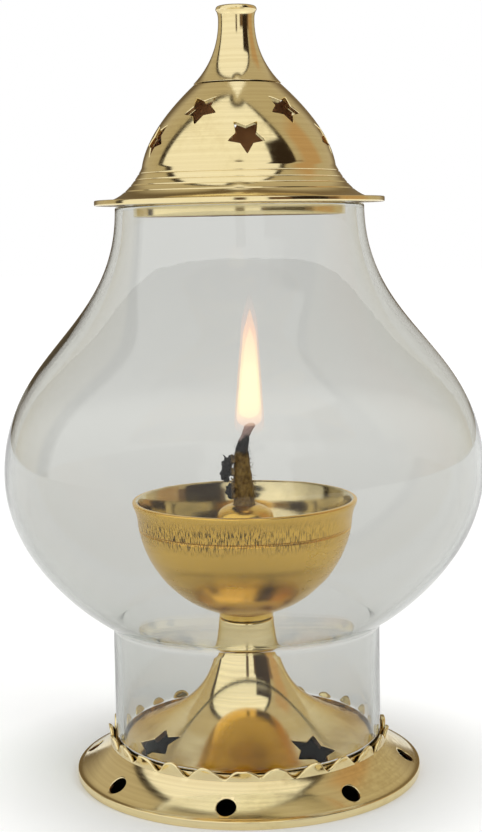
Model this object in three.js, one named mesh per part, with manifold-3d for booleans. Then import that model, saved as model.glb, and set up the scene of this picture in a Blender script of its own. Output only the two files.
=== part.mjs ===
// Brass oil lamp with a glass chimney. A vented skirt with a scalloped gallery holds a star-pierced
// trumpet pedestal. The oil bowl is bolted to the pedestal's neck and holds a wick in its holder. A
// blown glass chimney stands in the gallery and carries a star-pierced lid with a turned finial.
// Millimetres, +Z up. The origin is the middle of the foot's underside and -Y is the front.

import * as THREE from 'three';
import { mergeVertices } from 'three/addons/utils/BufferGeometryUtils.js';
import Module from 'manifold-3d';

const wasm = await Module();
wasm.setup();

const { degToRad } = THREE.MathUtils;

// Fits and facets
const fitGap = 0.3; // between pieces that touch
const turnedSides = 36; // facets round a large turned piece
const smallSides = 20; // facets round a small one

// Pierced stars
const starPoints = 5;
const starWaist = 0.5; // inner corners, as a share of the tips' radius

// Glass chimney: straight foot, fold, bulb and neck
const glassWall = 1.8;
const glassHeight = 132.3;
const glassFootRadius = 33.6;
const glassFootHeight = 27.6; // straight part, below the fold
const foldReach = 2.4; // how far the fold leads out to the bulb
const foldRise = 2.6;
const foldSlope = degToRad(31); // rise of the bulb's underside where the fold ends
const bulbRadius = 59.4;
const bulbHeight = 67; // widest place above the glass's foot
const bulbUnderside = 6; // handle of the curve over the fold
const bulbBelly = 19.8; // handle of the curve under the widest place
const bulbShoulder = 31; // handle of the curve over the widest place
const neckRun = 31; // handle of the curve under the mouth
const neckRadius = 30.5;
const glassEdge = 0.5; // fire-polished rounding of both ends

// Skirt: foot band, concave flare and upright gallery
const skirtWall = 0.9;
const skirtSpread = 8.4; // foot beyond the gallery
const footBandHeight = 2;
const footBandWidth = 2;
const footBandStep = 0.6;
const flareHeight = 8.4; // where the flare has turned upright
const flareInset = 2.3; // handle point of the flare, out from the gallery
const flareSag = 3.2; // handle point of the flare, down from its end
const galleryHeight = 11.8; // to the scallops' crests
const galleryClearance = 0.6; // round the glass
const galleryCurl = 0.7; // outward curl of the crests
const scallopCount = 25;
const scallopDepth = 2.6;
const scallopPhase = degToRad(-3); // a crest, from the front towards +X
const scallopColumns = 5; // facets round one scallop
const troughSharpness = 1.5;
const ventCount = 8;
const ventRadius = 2.4;
const ventSides = 16;
const ventPlace = 0.36; // share of the flare
const ventPhase = degToRad(-8);

// Pedestal: ledge for the glass, pierced plate and trumpet in one
const pedestalSeat = 8.3; // underside of its rim
const pedestalRim = 1.4; // thickness of the rim
const pedestalWall = 1.4;
const pedestalHeight = 30.3; // from the rim's underside to the neck's top
const ledgeMargin = 0.5; // ledge inside the glass
const stemRadius = 6.9; // at the neck's top
const trumpetSplay = 5.1; // handle point of the plate, out from the stem
const trumpetLift = 7.8; // handle point of the plate, up from the ledge
const stemSplay = 1.3; // handle point of the stem, out from its top
const stemDrop = 16.6; // handle point of the stem, down from its top
const neckWeb = 3.2; // solid top of the neck
const plateStars = 4;
const plateStarRadius = 5.9;
const plateStarReach = 6.9; // star's centre in from the rim
const plateStarPhase = degToRad(35);

// Oil bowl, its stud, washer and nut
const bowlRadius = 27.1;
const bowlWall = 1.4;
const bowlFoot = 0.7; // flat foot under the sphere
const bowlRimRadius = 28.2;
const bowlRimRise = 2.8; // rim above the sphere's centre
const bowlEdge = 0.25; // rounding of the rim
const grooveDrop = 4.2; // groove below the sphere's centre
const grooveWidth = 0.8;
const grooveDepth = 0.35;
const studRadius = 3;
const studTail = 1; // stud below the nut
const washerRadius = 5.6;
const washerThickness = 1;
const nutRadius = 5.6; // across corners
const nutHeight = 4;

// Wick holder and wick
const wickRadius = 2.6;
const wickDip = 3; // wick above the foot of its holder
const holderHeight = 25;
const holderFootRadius = 9;
const holderFootThickness = 1.2;
const holderStemRadius = 4.6;
const holderBellHeight = 8; // foot up to the stem
const holderCapRadius = 7.4;
const holderCapHeight = 4;
const holderCapCrown = 1.2; // handle point of the cap, down from its top
const holderLip = 0.8; // flat round the wick
const notchCount = 4;
const notchRadius = 0.8;

// Lid: flange, swept waist, dome, locating collar and finial
const lidOverhang = 5; // flange beyond the glass's neck
const flangeThickness = 1.3;
const collarClearance = 2.7; // collar inside the glass's neck
const collarWall = 1.4;
const collarDrop = 2.9; // collar below the flange
const collarSeat = 1.6; // collar let into the flange
const domeWall = 1.2;
const domeHeight = 28.6; // flange's underside to the finial
const waistHeight = 9;
const waistInset = 2.3; // waist inside the collar's outside
const sweepReach = 5.5; // start of the sweep, out from the collar
const sweepCorner = 1; // handle point of the sweep, out from the collar
const sweepLift = 2.7; // the same point above the flange's underside
const domeCrown = 10.7; // handle point of the dome, down from its top
const domeBulge = 1.4; // the same point, in from the waist
const domeTopRadius = 10.7;
const lidStars = 5; // in each of two rows
const lidStarRadius = 4.7;
const lowStarPlace = 0.3; // share of the dome's side
const highStarPlace = 0.64;
const lidStarPhase = degToRad(5);
const spigotRadius = 6;
const spigotLength = 3;
const finialHeight = 18.5;
const finialNeckRadius = 4.4;
const finialLipRadius = 5;
const finialLipHeight = 3.4;
const finialLipEdge = 1; // rounding of the lip
const finialBoreEdge = 0.5; // rounding of the bore's mouth
const finialShoulder = 3.6; // handle of the finial's foot, in and up
const finialReach = 6.4; // handle under the finial's neck
const finialBore = 3;

// Sizes worked out from those above
const galleryInner = glassFootRadius + galleryClearance;
const galleryOuter = galleryInner + skirtWall;
const footRadius = galleryOuter + skirtSpread;
const ledgeInner = glassFootRadius - glassWall - ledgeMargin;
const rimRadius = galleryInner - fitGap;
const glassSeat = pedestalSeat + pedestalRim + fitGap;
const neckTop = pedestalSeat + pedestalHeight;
const bowlSeat = neckTop + fitGap;
const bowlCentre = bowlFoot + bowlRadius;
const bowlInner = bowlRadius - bowlWall;
const washerDrop = neckWeb + 2 * fitGap + washerThickness;
const nutDrop = washerDrop + fitGap + nutHeight;
const studLength = nutDrop + studTail;
const holderSeat = bowlCentre - Math.sqrt(bowlInner ** 2 - holderFootRadius ** 2) + fitGap;
const collarRadius = neckRadius - glassWall - collarClearance;
const collarInner = collarRadius - collarWall;
const waistRadius = collarRadius - waistInset;

// A point of a turned profile: x is the radius and y the height
const at = (radius, height) => new THREE.Vector2(radius, height);

// A point at a radius, an angle from the front towards +X, and a height
function around(radius, angle, height) {
  return new THREE.Vector3(radius * Math.sin(angle), -radius * Math.cos(angle), height);
}

// Points along a curve, moved sideways: a positive offset is to its right as it runs
function along(curve, steps, offset = 0) {
  const points = [];
  for (let i = 0; i <= steps; i += 1) {
    const point = curve.getPoint(i / steps);
    const slope = curve.getTangent(i / steps);
    points.push(at(point.x + slope.y * offset, point.y - slope.x * offset));
  }
  return points;
}

// Solids
function solid(geometry) {
  geometry.deleteAttribute('normal');
  geometry.deleteAttribute('uv');
  const merged = mergeVertices(geometry);
  const corners = merged.index.array;
  const faces = [];
  for (let i = 0; i < corners.length; i += 3) {
    const [a, b, c] = [corners[i], corners[i + 1], corners[i + 2]];
    if (a !== b && b !== c && c !== a) faces.push(a, b, c);
  }
  return new wasm.Manifold(new wasm.Mesh({
    numProp: 3,
    vertProperties: new Float32Array(merged.attributes.position.array),
    triVerts: new Uint32Array(faces),
  }));
}

// Profile revolved about Z. It runs up the outside, and starts and ends on the axis or closes on itself.
function turned(profile, sides = turnedSides) {
  return solid(new THREE.LatheGeometry(profile, sides).rotateX(Math.PI / 2));
}

const closed = (profile) => [...profile, profile[0]];

// Skin over profiles that stand side by side, anticlockwise seen from above, each running up the outside.
// A looped profile comes back down the inside; any other starts and ends on a shared pole.
function skinned(profiles, looped) {
  const height = profiles[0].length;
  const rows = looped ? height : height - 1;
  const index = [];
  profiles.forEach((_, i) => {
    const next = (i + 1) % profiles.length;
    for (let j = 0; j < rows; j += 1) {
      const up = (j + 1) % height;
      const [a, b, c, d] = [i * height + j, next * height + j, next * height + up, i * height + up];
      index.push(a, b, c, a, c, d);
    }
  });
  const geometry = new THREE.BufferGeometry().setFromPoints(profiles.flat());
  geometry.setIndex(index);
  return solid(geometry);
}

// Cutters lie along Z about the origin
function starCutter(radius, depth) {
  const corners = [];
  for (let i = 0; i < 2 * starPoints; i += 1) {
    const reach = i % 2 ? radius * starWaist : radius;
    const angle = (i * Math.PI) / starPoints;
    corners.push(at(reach * Math.cos(angle), reach * Math.sin(angle)));
  }
  const outline = new THREE.Shape(corners);
  return new THREE.ExtrudeGeometry(outline, { depth, bevelEnabled: false }).translate(0, 0, -depth / 2);
}

function roundCutter(radius, depth, sides = smallSides) {
  return new THREE.CylinderGeometry(radius, radius, depth, sides).rotateX(Math.PI / 2);
}

// Sets a cutter on a turned wall, at a share of its profile curve and an angle: its +Z goes out along the
// wall's normal and its +X points down the slope.
function onWall(cutter, curve, share, angle) {
  const spot = curve.getPoint(share);
  const slope = curve.getTangent(share);
  const outward = around(slope.y, angle, -slope.x);
  const downhill = around(-slope.x, angle, -slope.y);
  const sideways = outward.clone().cross(downhill);
  const place = new THREE.Matrix4().makeBasis(downhill, sideways, outward);
  return solid(cutter.applyMatrix4(place.setPosition(around(spot.x, angle, spot.y))));
}

function piercedRow(body, makeCutter, curve, share, count, phase) {
  for (let i = 0; i < count; i += 1) {
    const angle = phase + (2 * Math.PI * i) / count;
    body = body.subtract(onWall(makeCutter(), curve, share, angle));
  }
  return body;
}

// Meshes and materials
const brass = () => new THREE.MeshStandardMaterial({ color: 0xd8b25c, roughness: 0.22, metalness: 1 });
const agedBrass = () => new THREE.MeshStandardMaterial({ color: 0xb58d45, roughness: 0.4, metalness: 1 });
const glass = () => new THREE.MeshStandardMaterial({
  color: 0xdde4dc, roughness: 0.05, metalness: 0, transparent: true, opacity: 0.3,
});
const oiledCotton = () => new THREE.MeshStandardMaterial({ color: 0x7a5a26, roughness: 0.85, metalness: 0 });

function piece(name, body, material, height = 0) {
  const mesh = body.getMesh();
  const geometry = new THREE.BufferGeometry();
  geometry.setAttribute('position', new THREE.BufferAttribute(new Float32Array(mesh.vertProperties), 3));
  geometry.setIndex(new THREE.BufferAttribute(new Uint32Array(mesh.triVerts), 1));
  geometry.computeVertexNormals();
  const result = new THREE.Mesh(geometry, material);
  result.name = name;
  result.position.z = height;
  return result;
}

// Skirt with its gallery
function footSkirt() {
  const flare = new THREE.QuadraticBezierCurve(
    at(footRadius - footBandStep, footBandHeight),
    at(galleryOuter + flareInset, flareHeight - flareSag),
    at(galleryOuter, flareHeight),
  );
  const flareSteps = 3;
  const outside = along(flare, flareSteps);
  const inside = along(flare, flareSteps, -skirtWall).slice(1).reverse();
  const profiles = [];
  for (let i = 0; i < scallopCount * scallopColumns; i += 1) {
    const turn = (i + 0.5) / scallopColumns;
    const angle = scallopPhase + (2 * Math.PI * turn) / scallopCount;
    const trough = ((1 - Math.cos(2 * Math.PI * turn)) / 2) ** troughSharpness;
    const edge = galleryHeight - scallopDepth * trough;
    const curl = galleryCurl * ((edge - flareHeight) / (galleryHeight - flareHeight)) ** 2;
    const section = [
      at(footRadius, 0),
      at(footRadius, footBandHeight),
      ...outside,
      at(galleryOuter + curl, edge),
      at(galleryInner + curl, edge),
      ...inside,
      at(footRadius - footBandWidth, 0),
    ];
    profiles.push(section.map((point) => around(point.x, angle, point.y)));
  }
  const cutThrough = 6 * skirtWall;
  const vent = () => roundCutter(ventRadius, cutThrough, ventSides);
  return piercedRow(skinned(profiles, true), vent, flare, ventPlace, ventCount, ventPhase);
}

// Pedestal, from its rim's underside
function pedestal() {
  const ledge = pedestalRim;
  const trumpet = new THREE.CubicBezierCurve(
    at(ledgeInner, ledge),
    at(stemRadius + trumpetSplay, ledge + trumpetLift),
    at(stemRadius + stemSplay, pedestalHeight - stemDrop),
    at(stemRadius, pedestalHeight),
  );
  const steps = 7;
  const webUnderside = pedestalHeight - neckWeb;
  const bore = studRadius + fitGap;
  const inside = along(trumpet, steps, -pedestalWall).filter((point) => point.y < webUnderside);
  const body = turned(closed([
    at(rimRadius, 0),
    at(rimRadius, ledge),
    ...along(trumpet, steps),
    at(bore, pedestalHeight),
    at(bore, webUnderside),
    at(inside.at(-1).x, webUnderside),
    ...inside.reverse(),
  ]));
  const starCentre = rimRadius - plateStarReach;
  const searchStep = 0.001;
  let share = 0;
  while (trumpet.getPoint(share).x > starCentre) share += searchStep;
  const star = () => starCutter(plateStarRadius, 8 * pedestalWall);
  return piercedRow(body, star, trumpet, share, plateStars, plateStarPhase);
}

// Oil bowl, from its foot
function oilBowl() {
  const onSphere = (radius, lean) => at(radius * Math.sin(lean), bowlCentre - radius * Math.cos(lean));
  const sphere = (radius, from, to, steps) => Array.from(
    { length: steps + 1 },
    (_, i) => onSphere(radius, from + ((to - from) * i) / steps),
  );
  const grooveLow = Math.acos((grooveDrop + grooveWidth / 2) / bowlRadius);
  const grooveMiddle = onSphere(bowlRadius, Math.acos(grooveDrop / bowlRadius));
  const grooveHigh = onSphere(bowlRadius, Math.acos((grooveDrop - grooveWidth / 2) / bowlRadius));
  const rim = bowlCentre + bowlRimRise;
  const insideTop = Math.acos(grooveDrop / bowlInner);
  return turned([
    at(0, -studLength),
    at(studRadius, -studLength),
    at(studRadius, 0),
    at(stemRadius, 0),
    ...sphere(bowlRadius, Math.asin(stemRadius / bowlRadius), grooveLow, 7),
    at(grooveMiddle.x - grooveDepth, grooveMiddle.y),
    grooveHigh,
    at(bowlRimRadius, rim - bowlEdge),
    at(bowlRimRadius - bowlEdge, rim),
    at(bowlRimRadius - bowlWall + bowlEdge, rim),
    at(bowlRimRadius - bowlWall, rim - bowlEdge),
    ...sphere(bowlInner, insideTop, 0, 7),
  ]);
}

function bowlWasher() {
  const bore = studRadius + fitGap;
  return turned(closed([
    at(washerRadius, 0),
    at(washerRadius, washerThickness),
    at(bore, washerThickness),
    at(bore, 0),
  ]), smallSides);
}

function bowlNut() {
  const flats = 6;
  const block = solid(roundCutter(nutRadius, nutHeight, flats).translate(0, 0, nutHeight / 2));
  return block.subtract(solid(roundCutter(studRadius + fitGap, 3 * nutHeight)));
}

// Wick holder, from its foot
function wickHolder() {
  const bore = wickRadius + fitGap;
  const bell = new THREE.QuadraticBezierCurve(
    at(holderFootRadius, holderFootThickness),
    at(holderStemRadius, holderFootThickness),
    at(holderStemRadius, holderBellHeight),
  );
  const capFoot = holderHeight - holderCapHeight;
  const cap = new THREE.QuadraticBezierCurve(
    at(holderCapRadius, capFoot),
    at(holderCapRadius, holderHeight - holderCapCrown),
    at(bore + holderLip, holderHeight),
  );
  let body = turned(closed([
    at(holderFootRadius, 0),
    ...along(bell, 3),
    at(holderStemRadius, capFoot),
    ...along(cap, 4),
    at(bore, holderHeight),
    at(bore, 0),
  ]), smallSides);
  for (let i = 0; i < notchCount; i += 1) {
    const angle = (2 * Math.PI * (i + 0.5)) / notchCount;
    const notch = new THREE.CylinderGeometry(notchRadius, notchRadius, holderFootRadius, 8);
    const middle = around(bore + holderFootRadius / 2 + fitGap, angle, 0);
    body = body.subtract(solid(notch.rotateZ(angle).translate(middle.x, middle.y, middle.z)));
  }
  return body;
}

// Wick, from the foot of its holder: a soft column that thins and bends over where it has burnt
function cottonWick() {
  const sides = 10;
  const stations = [ // height above the holder's foot, lean towards +X, share of the wick's radius
    [wickDip, 0, 0.85],
    [wickDip + 1, 0, 1],
    [holderHeight + 1, 0, 1],
    [holderHeight + 5, -0.2, 0.94],
    [holderHeight + 9, -0.5, 0.8],
    [holderHeight + 12, -0.6, 0.72],
    [holderHeight + 15, -0.4, 0.66],
    [holderHeight + 17.5, 0.1, 0.6],
    [holderHeight + 19.5, 0.9, 0.5],
    [holderHeight + 20.6, 1.7, 0.3],
  ];
  const [bottom, top] = [stations[0], stations.at(-1)];
  const profiles = [];
  for (let i = 0; i < sides; i += 1) {
    const angle = (2 * Math.PI * i) / sides;
    profiles.push([
      new THREE.Vector3(bottom[1], 0, bottom[0]),
      ...stations.map(([height, lean, share]) => (
        around(wickRadius * share, angle, height).add(new THREE.Vector3(lean, 0, 0)))),
      new THREE.Vector3(top[1], 0, top[0]),
    ]);
  }
  return skinned(profiles, false);
}

// Glass chimney, from its foot
function glassChimney() {
  const foldEnd = at(glassFootRadius + foldReach, glassFootHeight + foldRise);
  const fold = new THREE.QuadraticBezierCurve(
    at(glassFootRadius, glassFootHeight),
    at(glassFootRadius, foldEnd.y - foldReach * Math.tan(foldSlope)),
    foldEnd,
  );
  const belly = new THREE.CubicBezierCurve(
    foldEnd,
    at(foldEnd.x + bulbUnderside * Math.cos(foldSlope), foldEnd.y + bulbUnderside * Math.sin(foldSlope)),
    at(bulbRadius, bulbHeight - bulbBelly),
    at(bulbRadius, bulbHeight),
  );
  const shoulder = new THREE.CubicBezierCurve(
    at(bulbRadius, bulbHeight),
    at(bulbRadius, bulbHeight + bulbShoulder),
    at(neckRadius, glassHeight - neckRun),
    at(neckRadius, glassHeight),
  );
  const wall = (offset) => [
    ...along(fold, 2, offset),
    ...along(belly, 5, offset).slice(1),
    ...along(shoulder, 9, offset).slice(1, -1),
  ];
  const [footIn, neckIn] = [glassFootRadius - glassWall, neckRadius - glassWall];
  return turned(closed([
    at(footIn + glassEdge, 0),
    at(glassFootRadius - glassEdge, 0),
    at(glassFootRadius, glassEdge),
    ...wall(0),
    at(neckRadius, glassHeight - glassEdge),
    at(neckRadius - glassEdge, glassHeight),
    at(neckIn + glassEdge, glassHeight),
    at(neckIn, glassHeight - glassEdge),
    ...wall(-glassWall).reverse(),
    at(footIn, glassEdge),
  ]));
}

// Lid dome, from its flange's underside
function lidDome() {
  const flangeRadius = neckRadius + lidOverhang;
  const sweep = new THREE.QuadraticBezierCurve(
    at(collarRadius + sweepReach, flangeThickness),
    at(collarRadius + sweepCorner, sweepLift),
    at(waistRadius, waistHeight),
  );
  const dome = new THREE.QuadraticBezierCurve(
    at(waistRadius, waistHeight),
    at(waistRadius - domeBulge, domeHeight - domeCrown),
    at(domeTopRadius, domeHeight),
  );
  const seat = collarRadius + fitGap;
  const hole = spigotRadius + fitGap;
  const inside = along(dome, 5, -domeWall).filter((point) => point.x > hole && point.y < domeHeight - domeWall);
  const body = turned(closed([
    at(seat, 0),
    at(flangeRadius, 0),
    at(flangeRadius, flangeThickness),
    ...along(sweep, 4),
    ...along(dome, 6).slice(1),
    at(hole, domeHeight),
    at(hole, domeHeight - domeWall),
    ...inside.reverse(),
    at(collarInner, collarSeat),
    at(seat, collarSeat),
  ]));
  const star = () => starCutter(lidStarRadius, 7 * domeWall);
  const halfPitch = Math.PI / lidStars;
  const lowRow = piercedRow(body, star, dome, lowStarPlace, lidStars, lidStarPhase);
  return piercedRow(lowRow, star, dome, highStarPlace, lidStars, lidStarPhase + halfPitch);
}

// Locating collar, from its lower edge
function lidCollar() {
  const height = collarDrop + collarSeat - fitGap;
  return turned(closed([
    at(collarRadius, 0),
    at(collarRadius, height),
    at(collarInner, height),
    at(collarInner, 0),
  ]));
}

// Finial, from its shoulder on the dome
function lidFinial() {
  const neckHeight = finialHeight - finialLipHeight;
  const side = new THREE.CubicBezierCurve(
    at(domeTopRadius, 0),
    at(domeTopRadius - finialShoulder, finialShoulder),
    at(finialNeckRadius, neckHeight - finialReach),
    at(finialNeckRadius, neckHeight),
  );
  const lip = new THREE.QuadraticBezierCurve(
    at(finialLipRadius, finialHeight - finialLipEdge),
    at(finialLipRadius, finialHeight),
    at((finialLipRadius + finialBore) / 2, finialHeight),
  );
  return turned(closed([
    at(finialBore, -spigotLength),
    at(spigotRadius, -spigotLength),
    at(spigotRadius, 0),
    ...along(side, 6),
    ...along(lip, 2),
    at(finialBore, finialHeight - finialBoreEdge),
  ]), smallSides);
}

// The lamp: the lid rides on the glass, and the wick in its holder
const lamp = new THREE.Group();
lamp.add(piece('foot_skirt', footSkirt(), brass()));
lamp.add(piece('pedestal', pedestal(), brass(), pedestalSeat));
lamp.add(piece('oil_bowl', oilBowl(), brass(), bowlSeat));
lamp.add(piece('bowl_washer', bowlWasher(), agedBrass(), bowlSeat - washerDrop));
lamp.add(piece('bowl_nut', bowlNut(), agedBrass(), bowlSeat - nutDrop));

const holder = new THREE.Group();
holder.position.z = bowlSeat + holderSeat;
holder.add(piece('wick_holder', wickHolder(), brass()));
holder.add(piece('cotton_wick', cottonWick(), oiledCotton()));
lamp.add(holder);

const chimney = new THREE.Group();
chimney.position.z = glassSeat;
chimney.add(piece('glass_chimney', glassChimney(), glass()));
lamp.add(chimney);

const lid = new THREE.Group();
lid.position.z = glassHeight + fitGap;
lid.add(piece('lid_dome', lidDome(), brass()));
lid.add(piece('lid_collar', lidCollar(), brass(), -collarDrop));
lid.add(piece('lid_finial', lidFinial(), brass(), domeHeight + fitGap));
chimney.add(lid);

export default lamp;
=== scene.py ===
"""A brass oil lamp: vented skirt, pierced pedestal, oil bowl, lit wick, glass chimney and pierced lid.

Metres, +Z up. The origin is the middle of the foot's underside and -Y is the front. Turned pieces are
drawn as profiles of (radius, height) points that run up the outside and back down the inside.
"""

import math

import bmesh
import bpy
from bpy.props import FloatProperty, FloatVectorProperty, IntProperty, PointerProperty
from mathutils import Matrix, Vector, noise


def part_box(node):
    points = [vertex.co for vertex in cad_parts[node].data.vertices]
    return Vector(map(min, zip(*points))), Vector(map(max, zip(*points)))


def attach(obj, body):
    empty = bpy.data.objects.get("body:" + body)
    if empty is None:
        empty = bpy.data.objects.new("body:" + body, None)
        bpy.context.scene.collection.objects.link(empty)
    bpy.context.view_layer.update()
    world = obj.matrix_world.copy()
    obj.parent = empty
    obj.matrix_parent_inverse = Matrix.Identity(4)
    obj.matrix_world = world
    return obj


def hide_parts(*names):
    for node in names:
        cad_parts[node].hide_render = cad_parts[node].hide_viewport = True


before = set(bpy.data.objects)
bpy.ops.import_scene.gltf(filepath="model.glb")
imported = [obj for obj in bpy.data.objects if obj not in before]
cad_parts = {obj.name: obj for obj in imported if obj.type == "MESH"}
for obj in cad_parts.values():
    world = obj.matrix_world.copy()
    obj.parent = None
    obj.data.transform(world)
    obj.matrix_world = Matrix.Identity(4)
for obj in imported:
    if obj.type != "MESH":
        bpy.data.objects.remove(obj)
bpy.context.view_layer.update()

bl_info = {
    "name": "Brass Oil Lamp",
    "version": (1, 0, 0),
    "blender": (4, 5, 0),
    "location": "3D View > Sidebar > Oil Lamp",
    "description": "Builds a brass oil lamp with a glass chimney, piece by piece",
    "category": "Add Mesh",
}

MM = 0.001
FULL_TURN = 2 * math.pi

# Datums taken from the frame
FOOT_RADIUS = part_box("foot_skirt")[1].x
GALLERY_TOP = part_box("foot_skirt")[1].z
PEDESTAL_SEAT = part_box("pedestal")[0].z
PEDESTAL_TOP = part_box("pedestal")[1].z
RIM_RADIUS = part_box("pedestal")[1].x
BOWL_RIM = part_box("oil_bowl")[1]
STUD_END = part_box("oil_bowl")[0].z
HOLDER_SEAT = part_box("wick_holder")[0].z
HOLDER_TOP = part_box("wick_holder")[1].z
HOLDER_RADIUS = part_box("wick_holder")[1].x
WICK_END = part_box("cotton_wick")[0].z
WICK_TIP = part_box("cotton_wick")[1].z
GLASS_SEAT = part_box("glass_chimney")[0].z
GLASS_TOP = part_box("glass_chimney")[1].z
BULB_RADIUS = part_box("glass_chimney")[1].x
LID_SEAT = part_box("lid_dome")[0].z
DOME_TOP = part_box("lid_dome")[1].z
FLANGE_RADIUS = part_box("lid_dome")[1].x
COLLAR_LOW, COLLAR_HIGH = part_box("lid_collar")
FINIAL_LOW, FINIAL_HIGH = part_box("lid_finial")
FIT_GAP = 0.3 * MM
STUDIO_HEIGHT = 0.1
# Smallest height that counts as off an edge in the node trees
HAIR = 1e-6
# Inputs of a pierced wall that hold the handle points of its profile
HANDLES = ("Start", "Start Handle", "End Handle", "End")


def length(name, description, millimetres):
    """A size property, given in millimetres."""
    return FloatProperty(
        name=name,
        description=description,
        default=millimetres * MM,
        subtype="DISTANCE",
        unit="LENGTH",
        precision=5,
    )


def angle(name, description, degrees):
    """An angle property, given in degrees."""
    return FloatProperty(
        name=name,
        description=description,
        default=math.radians(degrees),
        subtype="ANGLE",
        unit="ROTATION",
    )


def share(name, description, value):
    """A share from 0 to 1."""
    return FloatProperty(name=name, description=description, default=value, subtype="FACTOR", min=0, max=1)


def count(name, description, value):
    """A whole number."""
    return IntProperty(name=name, description=description, default=value, min=1)


def colour(name, description, value):
    """A colour with three channels."""
    return FloatVectorProperty(
        name=name, description=description, default=value, subtype="COLOR", size=3, min=0, max=1
    )


class SkirtSizes(bpy.types.PropertyGroup):
    """Foot band, vented flare and scalloped gallery."""

    wall: length("Wall", "Thickness of the spun sheet", 0.9)
    spread: length("Spread", "Foot beyond the gallery", 8.4)
    band_height: length("Band height", "Height of the foot band", 2)
    band_width: length("Band width", "Width of the foot band's underside", 2)
    band_step: length("Band step", "Flare's foot in from the band", 0.6)
    flare_height: length("Flare height", "Where the flare meets the gallery", 8.4)
    flare_inset: length("Flare inset", "Handle of the flare, out from the gallery", 2.3)
    flare_sag: length("Flare sag", "Handle of the flare, down from its end", 3.2)
    curl: length("Curl", "Outward curl of the scallops", 0.7)
    unevenness: length("Unevenness", "How far hand-cut crests fall short", 0.7)
    scallop_depth: length("Scallop depth", "Trough below crest", 2.6)
    scallops: count("Scallops", "Scallops round the gallery", 25)
    scallop_phase: angle("Scallop phase", "A crest, from the front", -3)
    sharpness: FloatProperty(name="Sharpness", description="Narrowness of the troughs", default=1.5)
    vents: count("Vents", "Air vents round the flare", 8)
    vent_radius: length("Vent radius", "Radius of a vent", 2.4)
    vent_phase: angle("Vent phase", "A vent, from the front", -8)
    vent_height: length("Vent height", "Middle of the vents above the table", 4)


class PedestalSizes(bpy.types.PropertyGroup):
    """Ledge, pierced plate and trumpet stem."""

    wall: length("Wall", "Thickness of the casting", 1.4)
    ledge_inset: length("Ledge", "Width of the flat ledge under the glass", 2.6)
    stem_radius: length("Stem radius", "Radius at the neck's top", 6.9)
    splay: length("Splay", "Handle of the plate, out from the stem", 5.1)
    lift: length("Lift", "Handle of the plate, up from the ledge", 7.8)
    stem_splay: length("Stem splay", "Handle of the stem, out from its top", 1.3)
    stem_drop: length("Stem drop", "Handle of the stem, down from its top", 16.6)
    neck_web: length("Neck web", "Solid top of the neck", 3.2)
    stud_bore: length("Stud bore", "Radius of the hole for the bowl's stud", 3.3)
    stars: count("Stars", "Stars round the plate", 4)
    star_radius: length("Star radius", "Star's centre to its tips", 5.9)
    star_reach: length("Star reach", "Star's centre in from the rim", 6.9)
    star_phase: angle("Star phase", "A star, from the front", 35)


class BowlSizes(bpy.types.PropertyGroup):
    """Round oil bowl and its stud."""

    radius: length("Radius", "Outside of the sphere", 27.1)
    wall: length("Wall", "Thickness of the bowl", 1.4)
    foot: length("Foot", "Flat foot under the sphere", 0.7)
    rim_rise: length("Rim rise", "Rim above the sphere's centre", 2.8)
    groove_drop: length("Groove drop", "Engraved line below the sphere's centre", 4.2)
    groove_width: length("Groove width", "Width of the engraved line", 0.8)
    groove_depth: length("Groove depth", "Depth of the engraved line", 0.35)
    lip: length("Lip", "Width of the rim", 1.4)
    foot_radius: length("Foot radius", "Radius of the flat foot", 6.9)
    stud_radius: length("Stud radius", "Radius of the stud", 3)
    oil_depth: length("Oil", "Oil surface below the rim", 11.5)


class HolderSizes(bpy.types.PropertyGroup):
    """Wick holder."""

    foot_thickness: length("Foot", "Thickness of the foot", 1.2)
    stem_radius: length("Stem radius", "Outside of the stem", 4.6)
    bell_height: length("Bell height", "Foot up to the stem", 8)
    cap_radius: length("Cap radius", "Outside of the domed cap", 7.4)
    cap_height: length("Cap height", "Height of the domed cap", 4)
    cap_crown: length("Cap crown", "Handle of the cap, down from its top", 1.2)
    lip: length("Lip", "Flat round the wick", 0.8)


class WickSizes(bpy.types.PropertyGroup):
    """Cotton wick and its flame."""

    radius: length("Radius", "Radius of the wick", 2.6)
    strands: count("Strands", "Twisted strands seen on the outside", 7)
    strand_depth: share("Strand depth", "Depth between strands, as a share of the radius", 0.07)
    twist: FloatProperty(name="Twist", description="Turns per metre of wick", default=26)
    char_height: length("Char height", "Where the burnt end starts, above the table", 80.4)
    fibre_length: length("Fibre length", "Loose cotton fibres", 1.6)
    fibre_radius: length("Fibre radius", "Thickness of a fibre", 0.035)
    flame_foot: length("Flame foot", "Lowest point of the flame above the table", 85.4)
    flame_height: length("Flame height", "Foot to tip of the flame", 35.5)
    flame_radius: length("Flame radius", "Widest part of the flame", 4)


class GlassSizes(bpy.types.PropertyGroup):
    """Blown glass chimney."""

    wall: length("Wall", "Thickness of the glass", 1.8)
    foot_radius: length("Foot radius", "Outside of the straight foot", 33.6)
    foot_height: length("Foot height", "Straight part below the fold", 27.6)
    fold_reach: length("Fold reach", "How far the fold leads out", 2.4)
    fold_rise: length("Fold rise", "Height of the fold", 2.6)
    fold_slope: angle("Fold slope", "Rise of the underside where the fold ends", 31)
    bulb_height: length("Bulb height", "Widest place above the foot", 67)
    underside: length("Underside", "Handle of the curve over the fold", 6)
    belly: length("Belly", "Handle of the curve under the widest place", 19.8)
    shoulder: length("Shoulder", "Handle of the curve over the widest place", 31)
    neck_run: length("Neck run", "Handle of the curve under the mouth", 31)
    neck_radius: length("Neck radius", "Outside of the mouth", 30.5)
    edge: length("Edge", "Fire-polished rounding of both ends", 0.8)
    wobble: length("Wobble", "Unevenness of the blown wall", 0.12)


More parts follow.
